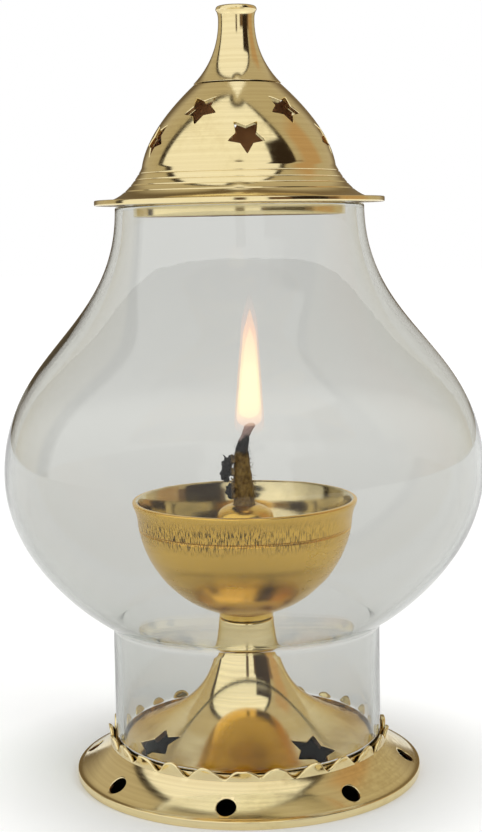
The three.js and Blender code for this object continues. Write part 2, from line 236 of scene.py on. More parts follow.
class LidSizes(bpy.types.PropertyGroup):
    """Lid dome, collar and finial."""

    flange: length("Flange", "Thickness of the flange", 1.3)
    collar_wall: length("Collar wall", "Thickness of the collar", 1.4)
    collar_seat: length("Collar seat", "Collar let into the flange", 1.6)
    wall: length("Wall", "Thickness of the dome", 1.2)
    waist_height: length("Waist height", "Waist above the flange's underside", 9)
    waist_inset: length("Waist inset", "Waist inside the collar's outside", 2.3)
    sweep_reach: length("Sweep reach", "Start of the sweep, out from the collar", 5.5)
    sweep_corner: length("Sweep corner", "Handle of the sweep, out from the collar", 1)
    sweep_lift: length("Sweep lift", "Handle of the sweep, above the flange's underside", 2.7)
    crown: length("Crown", "Handle of the dome, down from its top", 10.7)
    bulge: length("Bulge", "Handle of the dome, in from the waist", 1.4)
    stars: count("Stars", "Stars in each of two rows", 5)
    star_radius: length("Star radius", "Star's centre to its tips", 4.7)
    low_stars: length("Low stars", "Centres of the low row above the flange's underside", 15.5)
    high_stars: length("High stars", "Centres of the high row above the flange's underside", 22.1)
    star_phase: angle("Star phase", "A low star, from the front", 5)
    spigot_radius: length("Spigot radius", "Finial's spigot", 6)
    finial_neck: length("Finial neck", "Radius of the finial's neck", 4.4)
    finial_lip: length("Finial lip", "Radius of the finial's lip", 5)
    lip_height: length("Lip height", "Height of the finial's lip", 3.4)
    lip_edge: length("Lip edge", "Rounding of the lip", 1)
    shoulder: length("Shoulder", "Handle of the finial's foot", 3.6)
    reach: length("Reach", "Handle under the finial's neck", 6.4)
    bore: length("Bore", "Radius of the finial's bore", 3)


class Finishes(bpy.types.PropertyGroup):
    """Colours of every finish."""

    brass: colour("Brass", "Polished brass", (0.92, 0.78, 0.46))
    satin_brass: colour("Satin brass", "Turned brass that was not polished", (0.86, 0.55, 0.12))
    worn_brass: colour("Worn brass", "Brass where it is tarnished", (0.46, 0.29, 0.1))
    dull_brass: colour("Dull brass", "Brass of hidden fixings", (0.56, 0.41, 0.2))
    # Partly soot and partly painted shade: inner faces are made darker, as little light reaches them
    soot_and_shade: colour("Sooty brass", "Inner faces, browned by heat and smoke", (0.4, 0.19, 0.08))
    glass_tint: colour("Glass tint", "What thick glass lets through", (0.85, 0.875, 0.845))
    glass_veil: colour("Glass veil", "What each wall of the glass lets through", (0.94, 0.935, 0.925))
    oil: colour("Oil", "Lamp oil", (0.95, 0.78, 0.32))
    cotton: colour("Cotton", "Oil-soaked cotton", (0.3, 0.185, 0.055))
    cotton_dark: colour("Dark cotton", "Cotton between the strands", (0.1, 0.052, 0.012))
    char: colour("Char", "Burnt cotton", (0.007, 0.006, 0.006))
    ash: colour("Ash", "Pale end of the burnt wick", (0.36, 0.26, 0.25))
    flame_core: colour("Flame core", "Middle of the flame", (1, 0.94, 0.6))
    flame_edge: colour("Flame edge", "Outer flame", (1, 0.66, 0.45))
    floor: colour("Floor", "Floor and backdrop", (0.96, 0.96, 0.95))


class StageSettings(bpy.types.PropertyGroup):
    """Camera and lamps."""

    lens: FloatProperty(name="Lens", description="Focal length in millimetres", default=67.58)
    distance: length("Distance", "Camera in front of the lamp", 386.46)
    height: length("Height", "Camera above the table", 137.8)
    aside: length("Aside", "Camera to the left of the lamp", 0.5)
    pitch: angle("Pitch", "Camera tilted down", 7.02)
    roll: angle("Roll", "Camera turned about its view", -1.0)


GROUPS = {
    "skirt": SkirtSizes,
    "pedestal": PedestalSizes,
    "bowl": BowlSizes,
    "holder": HolderSizes,
    "wick": WickSizes,
    "glass": GlassSizes,
    "lid": LidSizes,
    "finishes": Finishes,
    "stage": StageSettings,
}


class LampSettings(bpy.types.PropertyGroup):
    """All settings of the lamp."""

    skirt: PointerProperty(type=SkirtSizes)
    pedestal: PointerProperty(type=PedestalSizes)
    bowl: PointerProperty(type=BowlSizes)
    holder: PointerProperty(type=HolderSizes)
    wick: PointerProperty(type=WickSizes)
    glass: PointerProperty(type=GlassSizes)
    lid: PointerProperty(type=LidSizes)
    finishes: PointerProperty(type=Finishes)
    stage: PointerProperty(type=StageSettings)


# Profiles


def nearer(points, place):
    """The points at a share of the way between each handle point and the next."""
    return [a.lerp(b, place) for a, b in zip(points, points[1:])]


def on_curve(handles, place):
    """Point at a share of a Bezier curve, from its handle points."""
    points = [Vector(p) for p in handles]
    while len(points) > 1:
        points = nearer(points, place)
    return points[0]


def heading(handles, place):
    """Direction of a Bezier curve at a share of it."""
    points = [Vector(p) for p in handles]
    while len(points) > 2:
        points = nearer(points, place)
    return (points[1] - points[0]).normalized()


def along(handles, steps, offset=0.0, first=0.0, last=1.0):
    """Points on a stretch of a curve, moved sideways: a positive offset is outside a profile that runs up."""
    points = []
    for i in range(steps + 1):
        place = first + (last - first) * i / steps
        point, way = on_curve(handles, place), heading(handles, place)
        points.append(point + Vector((way.y, -way.x)) * offset)
    return points


def lower_part(handles, place):
    """Handle points of the stretch of a curve below a share of it."""
    points = [Vector(p) for p in handles]
    part = [points[0]]
    while len(points) > 1:
        points = nearer(points, place)
        part.append(points[0])
    return part


def as_cubic(handles):
    """The same curve with four handle points."""
    if len(handles) == 4:
        return [Vector(p) for p in handles]
    a, b, c = (Vector(p) for p in handles)
    return [a, a.lerp(b, 2 / 3), c.lerp(b, 2 / 3), c]


def length_share(handles, passed):
    """Share of a curve's length at which a test of its points first holds."""
    points = along(handles, 2000)
    steps = [(b - a).length for a, b in zip(points, points[1:])]
    total = 0
    for point, step in zip(points, steps):
        if passed(point):
            break
        total += step
    return total / sum(steps)


def softened(points, radius, steps=4, corner=math.radians(25), closed=False):
    """A profile with its sharp corners rounded."""
    points = [Vector(p) for p in points]
    result = []
    for i, here in enumerate(points):
        inner = closed or 0 < i < len(points) - 1
        if inner:
            back, on = points[i - 1] - here, points[(i + 1) % len(points)] - here
            turn = math.pi - back.angle(on)
        if not inner or turn < corner:
            result.append(here)
            continue
        reach = min(radius * math.tan(turn / 2), back.length * 0.45, on.length * 0.45)
        bend = [here + back.normalized() * reach, here, here + on.normalized() * reach]
        result += along(bend, steps)
    return result


def groove(handles, place, width, depth):
    """Points of a small round groove cut in a profile curve."""
    middle, way = on_curve(handles, place), heading(handles, place)
    inward = Vector((-way.y, way.x))
    return [
        middle - way * width * 0.5,
        middle - way * width * 0.25 + inward * depth * 0.8,
        middle + inward * depth,
        middle + way * width * 0.25 + inward * depth * 0.8,
        middle + way * width * 0.5,
    ]


# Meshes


def round_point(radius, turn, height):
    """A point at a radius, an angle from the front towards +X, and a height."""
    return Vector((radius * math.sin(turn), -radius * math.cos(turn), height))


def skin(body, rings, looped=False):
    """Faces between rings of points, each ring anticlockwise seen from its far end."""
    rows = [[body.verts.new(p) for p in ring] for ring in rings]
    pairs = list(zip(rows, rows[1:]))
    if looped:
        pairs.append((rows[-1], rows[0]))
    for low, high in pairs:
        for i in range(len(low)):
            j = (i + 1) % len(low)
            body.faces.new((low[i], low[j], high[j], high[i]))


def turn_into(body, profile, columns, start=0.0, looped=False):
    """Revolves a profile about Z into a bmesh."""
    turns = [start + FULL_TURN * i / columns for i in range(columns)]
    skin(body, [[round_point(p.x, t, p.y) for t in turns] for p in map(Vector, profile)], looped)


def settle(body, weld=MM / 100):
    """Merges what coincides and turns the faces outwards."""
    bmesh.ops.remove_doubles(body, verts=body.verts, dist=weld)
    bmesh.ops.dissolve_degenerate(body, edges=body.edges, dist=weld / 10)
    bmesh.ops.recalc_face_normals(body, faces=body.faces)


def placed(name, data):
    """A new object in the scene."""
    thing = bpy.data.objects.new(name, data)
    bpy.context.collection.objects.link(thing)
    return thing


def finished(name, body, material, ride, slot, replaced=(), crease=35):
    """Makes a bmesh a smooth piece of the lamp that rides on a body."""
    settle(body)
    mesh = bpy.data.meshes.new(name)
    body.to_mesh(mesh)
    body.free()
    mesh.shade_smooth()
    mesh.set_sharp_from_angle(angle=math.radians(crease))
    mesh.materials.clear()
    mesh.materials.append(material)
    piece = placed(name, mesh)
    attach(piece, ride)
    if replaced:
        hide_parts(*replaced)


def turned(name, profile, columns, *rest, looped=False):
    """Makes a piece from one profile. The rest is its material, body, slot (not used) and replaced nodes."""
    body = bmesh.new()
    turn_into(body, profile, columns, looped=looped)
    finished(name, body, *rest)


def tube_into(body, points, radii, sides, crags=0.0):
    """A closed tapering tube through points, whose crags are a share of its radius."""
    rings = []
    side = None
    for i, here in enumerate(points):
        way = (points[min(i + 1, len(points) - 1)] - points[max(i - 1, 0)]).normalized()
        side = way.orthogonal() if side is None else side - way * side.dot(way)
        side.normalize()
        other = way.cross(side)
        turns = [FULL_TURN * k / sides for k in range(sides)]
        ring = []
        for turn in turns:
            out = side * math.cos(turn) + other * math.sin(turn)
            spot = here + out * radii[i]
            lump = noise.noise(spot * 900) + 0.6 * noise.noise(spot * 2300)
            ring.append(here + out * radii[i] * (1 + crags * lump))
        rings.append(ring)
    rings.insert(0, [points[0]] * sides)
    rings.append([points[-1]] * sides)
    skin(body, rings)


# Node trees


class Board:
    """Adds nodes to a tree and wires them as they are added."""

    def __init__(self, tree):
        self.tree = tree

    def add(self, kind, wires=None, **settings):
        """A node with its settings, and values or sockets for its inputs by name or number."""
        node = self.tree.nodes.new(kind)
        for key, value in settings.items():
            setattr(node, key, value)
        for key, value in (wires or {}).items():
            self.wire(value, node.inputs[key])
        return node

    def wire(self, value, socket):
        """Links a socket or sets a value."""
        if isinstance(value, bpy.types.NodeSocket):
            self.tree.links.new(value, socket)
        else:
            socket.default_value = value

    def calc(self, operation, *values):
        """Result of a Math node."""
        return self.add("ShaderNodeMath", dict(enumerate(values)), operation=operation).outputs[0]

    def plus(self, first, second):
        """A sum."""
        return self.calc("ADD", first, second)

    def minus(self, first, second):
        """A difference."""
        return self.calc("SUBTRACT", first, second)

    def times(self, first, second):
        """A product."""
        return self.calc("MULTIPLY", first, second)

    def over(self, first, second):
        """A quotient."""
        return self.calc("DIVIDE", first, second)

    def vector(self, operation, *values):
        """Result of a Vector Math node."""
        node = self.add("ShaderNodeVectorMath", dict(enumerate(values)), operation=operation)
        return node.outputs["Vector" if operation in ("NORMALIZE", "MULTIPLY") else "Value"]

    def split(self, vector):
        """X, Y and Z of a vector."""
        return self.add("ShaderNodeSeparateXYZ", {0: vector}).outputs

    def joined(self, x, y, z):
        """A vector of three values."""
        return self.add("ShaderNodeCombineXYZ", {0: x, 1: y, 2: z}).outputs[0]

    def position(self):
        """X, Y and Z of a mesh's points, in a Geometry Nodes tree."""
        return self.split(self.add("GeometryNodeInputPosition").outputs[0])

    def swing(self, x, y):
        """Angle round Z, from the front towards +X."""
        return self.calc("ARCTAN2", x, self.times(y, -1.0))

    def from_axis(self, x, y):
        """Distance from Z."""
        return self.vector("LENGTH", self.joined(x, y, 0.0))

    def outward(self, x, y):
        """Direction away from Z."""
        return self.vector("NORMALIZE", self.joined(x, y, 0.0))

    def blend(self, factor, first, second):
        """A mix of two colours."""
        node = self.add("ShaderNodeMix", {0: factor, 6: first, 7: second}, data_type="RGBA")
        return node.outputs[2]

    def ranged(self, value, low, high, to_low=0.0, to_high=1.0):
        """A value mapped from one range to another, and held inside it."""
        wires = {0: value, 1: low, 2: high, 3: to_low, 4: to_high}
        return self.add("ShaderNodeMapRange", wires).outputs[0]

    def noise(self, vector, scale, detail, distortion=0.0):
        """A noise, as a value in its first output and as a colour in its second."""
        wires = {"Vector": vector, "Scale": scale, "Detail": detail, "Distortion": distortion}
        return self.add("ShaderNodeTexNoise", wires).outputs

    def bump(self, shader, strength, distance, height):
        """Bumps in a shader's surface, by a height."""
        node = self.add("ShaderNodeBump", {"Strength": strength, "Distance": distance, "Height": height})
        self.wire(node.outputs[0], shader.inputs["Normal"])


def new_tree(name, family, inputs, outputs):
    """An empty node group with named sockets, listed by kind: its board, its inputs and its output node's."""
    tree = bpy.data.node_groups.new(name, family)
    for way, sockets in (("INPUT", inputs), ("OUTPUT", outputs)):
        for kind, labels in sockets.items():
            for label in labels:
                tree.interface.new_socket(name=label, in_out=way, socket_type=f"NodeSocket{kind}")
    board = Board(tree)
    return board, board.add("NodeGroupInput").outputs, board.add("NodeGroupOutput").inputs


def dress(put, shape, given, result):
    """Ends a tree with its instances made real and its finish set."""
    whole = put.add("GeometryNodeRealizeInstances", {0: shape.outputs[0]})
    dressed = put.add("GeometryNodeSetMaterial", {0: whole.outputs[0], "Material": given["Material"]})
    put.wire(dressed.outputs[0], result["Mesh"])


def grown(tree, values, base=None):
    """The plain mesh that a Geometry Nodes tree makes from named values, on a base mesh if it has one."""
    seed = placed("seed", base or bpy.data.meshes.new("seed"))
    modifier = seed.modifiers.new("tree", "NODES")
    modifier.node_group = tree
    keys = {s.name: s.identifier for s in tree.interface.items_tree if s.in_out == "INPUT"}
    for label, value in values.items():
        modifier[keys[label]] = value
    graph = bpy.context.evaluated_depsgraph_get()
    mesh = bpy.data.meshes.new_from_object(seed.evaluated_get(graph))
    bpy.data.objects.remove(seed)
    return mesh


def regrown(body, name, values):
    """A bmesh put through the Geometry Nodes tree of a name."""
    plain = bpy.data.meshes.new("plain")
    settle(body)
    body.to_mesh(plain)
    body.free()
    body = bmesh.new()
    body.from_mesh(grown(bpy.data.node_groups[name], values, plain))
    return body


def cutter_row_tree():
    """A row of star or round cutters in the flat, where X is the way round and Y the way up the wall."""
    inputs = {
        "Geometry": ["Profile"],
        "Float": ["Flat Width", "Wall", "Start Angle", "Phase", "Place", "Radius", "Waist", "Rounding"],
        "Int": ["Count", "Points"],
    }
    put, given, result = new_tree("Cutter Row", "GeometryNodeTree", inputs, {"Geometry": ["Cutters"]})
    wall, width, waist, rounding = (given[k] for k in ("Wall", "Flat Width", "Waist", "Rounding"))
    segments = 16
    tip_reach, tip_softness, flare_share = 0.965, 0.05, 0.8
    wires = {
        "Vertices": put.times(given["Points"], segments),
        "Side Segments": segments,
        "Fill Segments": 1,
        "Radius": 1.0,
        "Depth": put.plus(wall, put.times(rounding, 2.0)),
    }
    blank = put.add("GeometryNodeMeshCylinder", wires)
    x, y, z = put.position()
    point_angle = put.over(math.pi, given["Points"])
    turn = put.plus(put.calc("ARCTAN2", y, x), math.pi / 2)
    fold = put.calc("PINGPONG", turn, point_angle)
    # Straight edge from a tip to a waist corner, as a distance from the centre
    top = put.times(put.calc("SINE", point_angle), waist)
    rest = put.times(put.calc("SINE", put.minus(point_angle, fold)), waist)
    edge = put.over(top, put.plus(put.calc("SINE", fold), rest))
    reach = put.times(put.calc("SMOOTH_MIN", edge, tip_reach, tip_softness), given["Radius"])
    # The hole opens out in a small rounding at both faces of the wall
    inside = put.minus(put.times(wall, 0.5), rounding)
    past = put.calc("MAXIMUM", put.minus(put.calc("ABSOLUTE", z), inside), 0.0)
    flare = put.times(put.over(put.calc("POWER", past, 2.0), rounding), flare_share)
    spread = put.plus(reach, flare)
    cross, up = put.times(x, spread), put.times(y, spread)
    total = put.add("GeometryNodeCurveLength", {0: given["Profile"]}).outputs[0]
    middle = put.times(total, given["Place"])
    wires = {"Curves": given["Profile"], "Length": put.plus(middle, up)}
    spot = put.add("GeometryNodeSampleCurve", wires, mode="LENGTH")
    around = put.split(spot.outputs["Position"])[0]
    stretch = put.over(put.times(around, FULL_TURN), width)
    turned = put.over(cross, stretch)
    wires = {"Geometry": blank.outputs[0], "Position": put.joined(turned, up, z)}
    cutter = put.add("GeometryNodeSetPosition", wires)
    first = put.times(put.minus(given["Phase"], given["Start Angle"]), put.over(width, FULL_TURN))
    wires = {
        "Count": given["Count"],
        "Start Location": put.joined(first, middle, put.times(wall, -0.5)),
        "Offset": put.joined(put.over(width, given["Count"]), 0.0, 0.0),
    }
    line = put.add("GeometryNodeMeshLine", wires)
    wires = {"Points": line.outputs[0], "Instance": cutter.outputs[0]}
    placed = put.add("GeometryNodeInstanceOnPoints", wires)
    put.wire(put.add("GeometryNodeRealizeInstances", {0: placed.outputs[0]}).outputs[0], result["Cutters"])
    return put.tree


def pierced_wall_tree(row_tree):
    """A wall pierced in the flat by two rows of cutters, and then wrapped round Z along its profile."""
    hole = ["Wall", "Start Angle", "Radius", "Waist", "Rounding"]
    inputs = {
        "Vector": HANDLES,
        "Float": [*hole, "First Phase", "First Place", "Second Phase", "Second Place"],
        "Int": ["Columns", "Rows", "Points", "First Count", "Second Count"],
        "Material": ["Material"],
    }
    put, given, result = new_tree("Pierced Wall", "GeometryNodeTree", inputs, {"Geometry": ["Mesh"]})
    wires = {"Resolution": 256} | {key: given[key] for key in HANDLES}
    profile = put.add("GeometryNodeCurvePrimitiveBezierSegment", wires).outputs[0]
    total = put.add("GeometryNodeCurveLength", {0: profile}).outputs[0]
    width = put.times(put.split(given["Start"])[0], FULL_TURN)
    wires = {
        "Size": put.joined(width, total, given["Wall"]),
        "Vertices X": put.plus(given["Columns"], 1.0),
        "Vertices Y": put.plus(given["Rows"], 1.0),
        "Vertices Z": 2,
    }
    blank = put.add("GeometryNodeMeshCube", wires)
    half = put.joined(put.times(width, 0.5), put.times(total, 0.5), put.times(given["Wall"], -0.5))
    slab = put.add("GeometryNodeTransform", {"Geometry": blank.outputs[0], "Translation": half})
    wires = {"Mesh 1": slab.outputs[0]}
    cut = put.add("GeometryNodeMeshBoolean", wires, operation="DIFFERENCE", solver="EXACT")
    shared = {"Profile": profile, "Flat Width": width} | {key: given[key] for key in (*hole, "Points")}
    for row in ("First", "Second"):
        wires = shared | {key: given[f"{row} {key}"] for key in ("Count", "Phase", "Place")}
        cutters = put.add("GeometryNodeGroup", wires, node_tree=row_tree)
        put.wire(cutters.outputs[0], cut.inputs["Mesh 2"])
    x, y, z = put.position()
    rims = [
        put.calc("MAXIMUM", put.calc("LESS_THAN", v, HAIR), put.calc("GREATER_THAN", v, put.minus(end, HAIR)))
        for v, end in ((x, width), (y, total))
    ]
    wires = {"Geometry": cut.outputs[0], "Selection": put.calc("MAXIMUM", *rims)}
    opened = put.add("GeometryNodeDeleteGeometry", wires, domain="FACE")
    spot = put.add("GeometryNodeSampleCurve", {"Curves": profile, "Length": y}, mode="LENGTH")
    along_x, _, along_z = put.split(spot.outputs["Tangent"])
    radius, _, height = put.split(spot.outputs["Position"])
    out_radius = put.plus(radius, put.times(along_z, z))
    out_height = put.minus(height, put.times(along_x, z))
    swing = put.plus(put.times(put.over(x, width), FULL_TURN), given["Start Angle"])
    across = put.times(out_radius, put.calc("SINE", swing))
    behind = put.times(put.times(out_radius, put.calc("COSINE", swing)), -1.0)
    wires = {"Geometry": opened.outputs[0], "Position": put.joined(across, behind, out_height)}
    dress(put, put.add("GeometryNodeSetPosition", wires), given, result)


def scallop_tree():
    """Trims the top of a turned wall to scallops and curls it outwards."""
    inputs = {
        "Geometry": ["Mesh"],
        "Float": ["Foot", "Top", "Lip", "Depth", "Phase", "Sharpness", "Unevenness", "Curl"],
        "Int": ["Count"],
        "Material": ["Material"],
    }
    put, given, result = new_tree("Scallops", "GeometryNodeTree", inputs, {"Geometry": ["Mesh"]})
    x, y, z = put.position()
    from_crest = put.minus(put.swing(x, y), given["Phase"])
    wave = put.calc("COSINE", put.times(from_crest, given["Count"]))
    trough = put.calc("POWER", put.times(put.minus(1.0, wave), 0.5), given["Sharpness"])
    hand = put.noise(put.outward(x, y), 5.5, 2.0)["Color"]
    lower, deeper, bent = (put.ranged(part, 0.36, 0.64) for part in put.split(hand))
    depth = put.times(given["Depth"], put.ranged(deeper, 0.0, 1.0, 0.7, 1.2))
    worn = put.times(given["Unevenness"], lower)
    tall = put.minus(given["Top"], given["Foot"])
    sunk = put.minus(put.minus(tall, worn), put.times(depth, trough))
    rise = put.minus(z, given["Foot"])
    plain = put.minus(tall, given["Lip"])
    body = put.calc("MINIMUM", rise, plain)
    lip = put.calc("MAXIMUM", put.minus(rise, plain), 0.0)
    trimmed = put.over(put.times(body, put.minus(sunk, given["Lip"])), plain)
    up = put.plus(trimmed, lip)
    outward = put.times(given["Curl"], put.ranged(bent, 0.0, 1.0, 0.3, 1.9))
    lean = put.times(outward, put.calc("POWER", put.over(up, tall), 2.0))
    swell = put.plus(put.over(lean, put.from_axis(x, y)), 1.0)
    wires = {
        "Geometry": given["Mesh"],
        "Selection": put.calc("GREATER_THAN", rise, HAIR),
        "Position": put.joined(put.times(x, swell), put.times(y, swell), put.plus(given["Foot"], up)),
    }
    dress(put, put.add("GeometryNodeSetPosition", wires), given, result)


def fibre_tree():
    """Loose fibres that stand off the lower part of a cotton wick."""
    inputs = {
        "Geometry": ["Mesh"],
        "Float": ["Length", "Thickness", "Density", "Top"],
        "Material": ["Material"],
    }
    put, given, result = new_tree("Loose Fibres", "GeometryNodeTree", inputs, {"Geometry": ["Mesh"]})
    wires = {
        "Mesh": given["Mesh"],
        "Selection": put.calc("LESS_THAN", put.position()[2], given["Top"]),
        "Density": given["Density"],
        "Seed": 11,
    }
    spread = put.add("GeometryNodeDistributePointsOnFaces", wires).outputs
    bow, rise = put.times(given["Length"], 0.5), put.times(given["Length"], 0.35)
    wires = {
        "Resolution": 5,
        "Start": (0, 0, 0),
        "Middle": put.joined(0.0, 0.0, rise),
        "End": put.joined(bow, 0.0, rise),
    }
    strand = put.add("GeometryNodeCurveQuadraticBezier", wires)
    section = put.add("GeometryNodeCurvePrimitiveCircle", {"Resolution": 3, "Radius": given["Thickness"]})
    wires = {"Curve": strand.outputs[0], "Profile Curve": section.outputs[0], "Fill Caps": True}
    fibre = put.add("GeometryNodeCurveToMesh", wires)
    spin, size = (
        put.add("FunctionNodeRandomValue", {2: least, 3: most, "Seed": seed}, data_type="FLOAT").outputs[1]
        for least, most, seed in ((0.0, FULL_TURN, 12), (0.4, 1.3, 13))
    )
    wires = {0: spread["Rotation"], 1: put.joined(0.0, 0.0, spin)}
    way = put.add("FunctionNodeRotateRotation", wires, rotation_space="LOCAL").outputs[0]
    wires = {"Points": spread["Points"], "Instance": fibre.outputs[0], "Rotation": way, "Scale": size}
    placed = put.add("GeometryNodeInstanceOnPoints", wires)
    both = put.add("GeometryNodeJoinGeometry", {0: placed.outputs[0]})
    put.wire(given["Mesh"], both.inputs[0])
    dress(put, both, given, result)


# Shader groups and finishes


def turned_lines_group():
    """Fine lines that a lathe leaves round Z, as a height and a streak mask."""
    inputs = {"Vector": ["Vector"], "Float": ["Slope", "Density"]}
    put, given, result = new_tree("Turned Lines", "ShaderNodeTree", inputs, {"Float": ["Height", "Streak"]})
    x, y, z = put.split(given["Vector"])
    along_wall = put.plus(z, put.times(put.from_axis(x, y), given["Slope"]))
    fine = put.times(along_wall, given["Density"])
    lines, bands = (
        put.add("ShaderNodeTexNoise", {"W": place, "Scale": 1.0, "Detail": detail}, noise_dimensions="1D")
        for place, detail in ((fine, 4.0), (put.times(fine, 0.16), 2.0))
    )
    put.wire(put.plus(lines.outputs[0], bands.outputs[0]), result["Height"])
    put.wire(put.ranged(bands.outputs[0], 0.35, 0.65), result["Streak"])


def patina_group():
    """Uneven polish: smudges, small spots and darkening in hollows, as masks."""
    inputs = {"Vector": ["Vector"], "Float": ["Amount"]}
    outputs = {"Float": ["Smudge", "Tarnish", "Edge"]}
    put, given, result = new_tree("Patina", "ShaderNodeTree", inputs, outputs)
    soft, spots = put.noise(given["Vector"], 42.0, 5.0)[0], put.noise(given["Vector"], 640.0, 3.0)[0]
    bend = put.add("ShaderNodeNewGeometry").outputs["Pointiness"]
    hollow = put.ranged(bend, 0.5, 0.42)
    blotch = put.times(put.ranged(soft, 0.52, 0.74), put.ranged(spots, 0.4, 0.62))
    darkened = put.plus(hollow, put.times(blotch, 0.6))
    put.wire(put.ranged(soft, 0.3, 0.7), result["Smudge"])
    put.wire(put.calc("MINIMUM", put.times(darkened, given["Amount"]), 1.0), result["Tarnish"])
    put.wire(put.ranged(bend, 0.52, 0.6), result["Edge"])


def opened(material):
    """A material's board, its Principled shader and its Object coordinates."""
    put = Board(material.node_tree)
    return put, material.node_tree.nodes["Principled BSDF"], put.add("ShaderNodeTexCoord").outputs["Object"]


def blank_material(name):
    """A new material, with its board, its Principled shader and its Object coordinates."""
    material = bpy.data.materials.new(name)
    material.use_nodes = True
    return material, *opened(material)


def inner_shade_mask(put, place, top):
    """1 below a height on faces that look towards the axis, and 0 elsewhere: where inner faces get painted
    shade.
    """
    x, y, z = put.split(place)
    facing = put.add("ShaderNodeTexCoord").outputs["Normal"]
    agree = put.vector("DOT_PRODUCT", facing, put.outward(x, y))
    return put.times(put.ranged(agree, -0.04, -0.16), put.calc("LESS_THAN", z, top))


def brass_material(name, tint, tarnished, slope, dullness, tarnish, lines=(5200.0, 0.4), inside=None):
    """Turned brass: lathe lines, uneven polish, tarnish in hollows, bright edges and its own darker inner
    face, partly soot and partly painted shade.
    """
    density, line_height = lines
    material, put, shader, place = blank_material(name)
    groups = bpy.data.node_groups
    wires = {"Vector": place, "Slope": slope, "Density": density}
    lathe = put.add("ShaderNodeGroup", wires, node_tree=groups["Turned Lines"]).outputs
    wires = {"Vector": place, "Amount": tarnish}
    patina = put.add("ShaderNodeGroup", wires, node_tree=groups["Patina"]).outputs
    bright = tuple(min(1.0, c * 1.08) for c in tint)
    # Each mask with the share it has in the colour, and then in the roughness
    warm = put.blend(put.times(patina["Smudge"], 0.45), (*tint, 1), (*tint[:2], tint[2] * 0.8, 1))
    streaky = put.blend(put.times(lathe["Streak"], 0.14), warm, (*tarnished, 1))
    worn = put.blend(patina["Edge"], streaky, (*bright, 1))
    tone = put.blend(patina["Tarnish"], worn, (*tarnished, 1))
    streaked = put.plus(put.times(patina["Smudge"], 0.05), put.times(lathe["Streak"], 0.04))
    gloss = put.plus(put.plus(streaked, put.times(patina["Tarnish"], 0.3)), dullness)
    # Inner faces get a darker, mottled colour: painted shade, with soot as well where the colour is the sooty
    # brass
    if inside:
        inner_tint, inner_gloss, inner_top = inside
        inner = inner_shade_mask(put, place, inner_top)
        stain_and_shade = (*(c * 0.35 for c in inner_tint), 1)
        mottled = put.blend(patina["Smudge"], (*inner_tint, 1), stain_and_shade)
        tone = put.blend(inner, tone, mottled)
        gloss = put.plus(gloss, put.times(inner, inner_gloss - dullness))
    put.wire(tone, shader.inputs["Base Color"])
    put.wire(gloss, shader.inputs["Roughness"])
    put.bump(shader, 0.35, 0.01 * MM * line_height, lathe["Height"])
    shader.inputs["Metallic"].default_value = 1.0
    return material


def add_chatter(material, band_height, band_width):
    """Short upright tool marks in the bowl's outside, along its engraved line and left of the front."""
    put, shader, place = opened(material)
    x, y, z = put.split(place)
    turn = put.swing(x, y)
    upright = put.joined(put.times(turn, 60.0), put.times(z, 330.0), 0.0)
    marks, patches = put.noise(upright, 1.6, 3.0)[0], put.noise(place, 85.0, 1.0)[0]
    away = put.calc("ABSOLUTE", put.minus(z, band_height))
    near_line = put.ranged(away, band_width, band_width * 0.25)
    front = put.ranged(put.calc("ABSOLUTE", put.plus(turn, 0.35)), 1.5, 0.5)
    cuts = put.times(put.ranged(marks, 0.49, 0.57), put.ranged(patches, 0.28, 0.46))
    dark = put.times(put.times(cuts, near_line), put.times(front, 0.9))
    base = shader.inputs["Base Color"]
    put.wire(put.blend(dark, base.links[0].from_socket, (0.07, 0.035, 0.015, 1)), base)


def add_plate_tarnish(material, plate_top, tarnished):
    """Browner, duller patches on the pedestal's flat plate, which polishing doesn't reach well."""
    put, shader, place = opened(material)
    flat = put.ranged(put.split(place)[2], plate_top + 3.5 * MM, plate_top)
    patches = put.ranged(put.noise(place, 130.0, 3.0)[0], 0.36, 0.62, 0.3, 0.85)
    amount = put.times(flat, patches)
    shader.inputs["Specular Tint"].default_value = (0.7, 0.52, 0.28, 1)
    base, gloss = shader.inputs["Base Color"], shader.inputs["Roughness"]
    put.wire(put.blend(amount, base.links[0].from_socket, (*tarnished, 1)), base)
    put.wire(put.plus(gloss.links[0].from_socket, put.times(amount, 0.08)), gloss)


def glass_material(tint, veil):
    """Clear blown glass with soft waves, which lets lamps through and darkens where it is thick."""
    material, put, shader, place = blank_material("blown_glass")
    shader.inputs["Base Color"].default_value = (*veil, 1)
    shader.inputs["Transmission Weight"].default_value = 1.0
    shader.inputs["IOR"].default_value = 1.5
    shader.inputs["Specular Tint"].default_value = (0.45, 0.45, 0.45, 1)
    waves, cords = put.noise(place, 26.0, 1.0)[0], put.noise(place, 95.0, 1.0, 1.5)[0]
    put.bump(shader, 0.25, 1.2 * MM, put.plus(waves, put.times(cords, 0.02)))
    haze = put.noise(place, 55.0, 6.0)[0]
    put.wire(put.ranged(haze, 0.55, 0.85, 0.0, 0.03), shader.inputs["Roughness"])
    clear = put.add("ShaderNodeBsdfTransparent", {"Color": (0.93, 0.96, 0.93, 1)})
    shadow = put.add("ShaderNodeLightPath").outputs["Is Shadow Ray"]
    surface = put.add("ShaderNodeMixShader", {0: shadow, 1: shader.outputs[0], 2: clear.outputs[0]})
    body = put.add("ShaderNodeVolumeAbsorption", {"Color": (*tint, 1), "Density": 190.0})
    out = material.node_tree.nodes["Material Output"]
    put.wire(surface.outputs[0], out.inputs["Surface"])
    put.wire(body.outputs[0], out.inputs["Volume"])


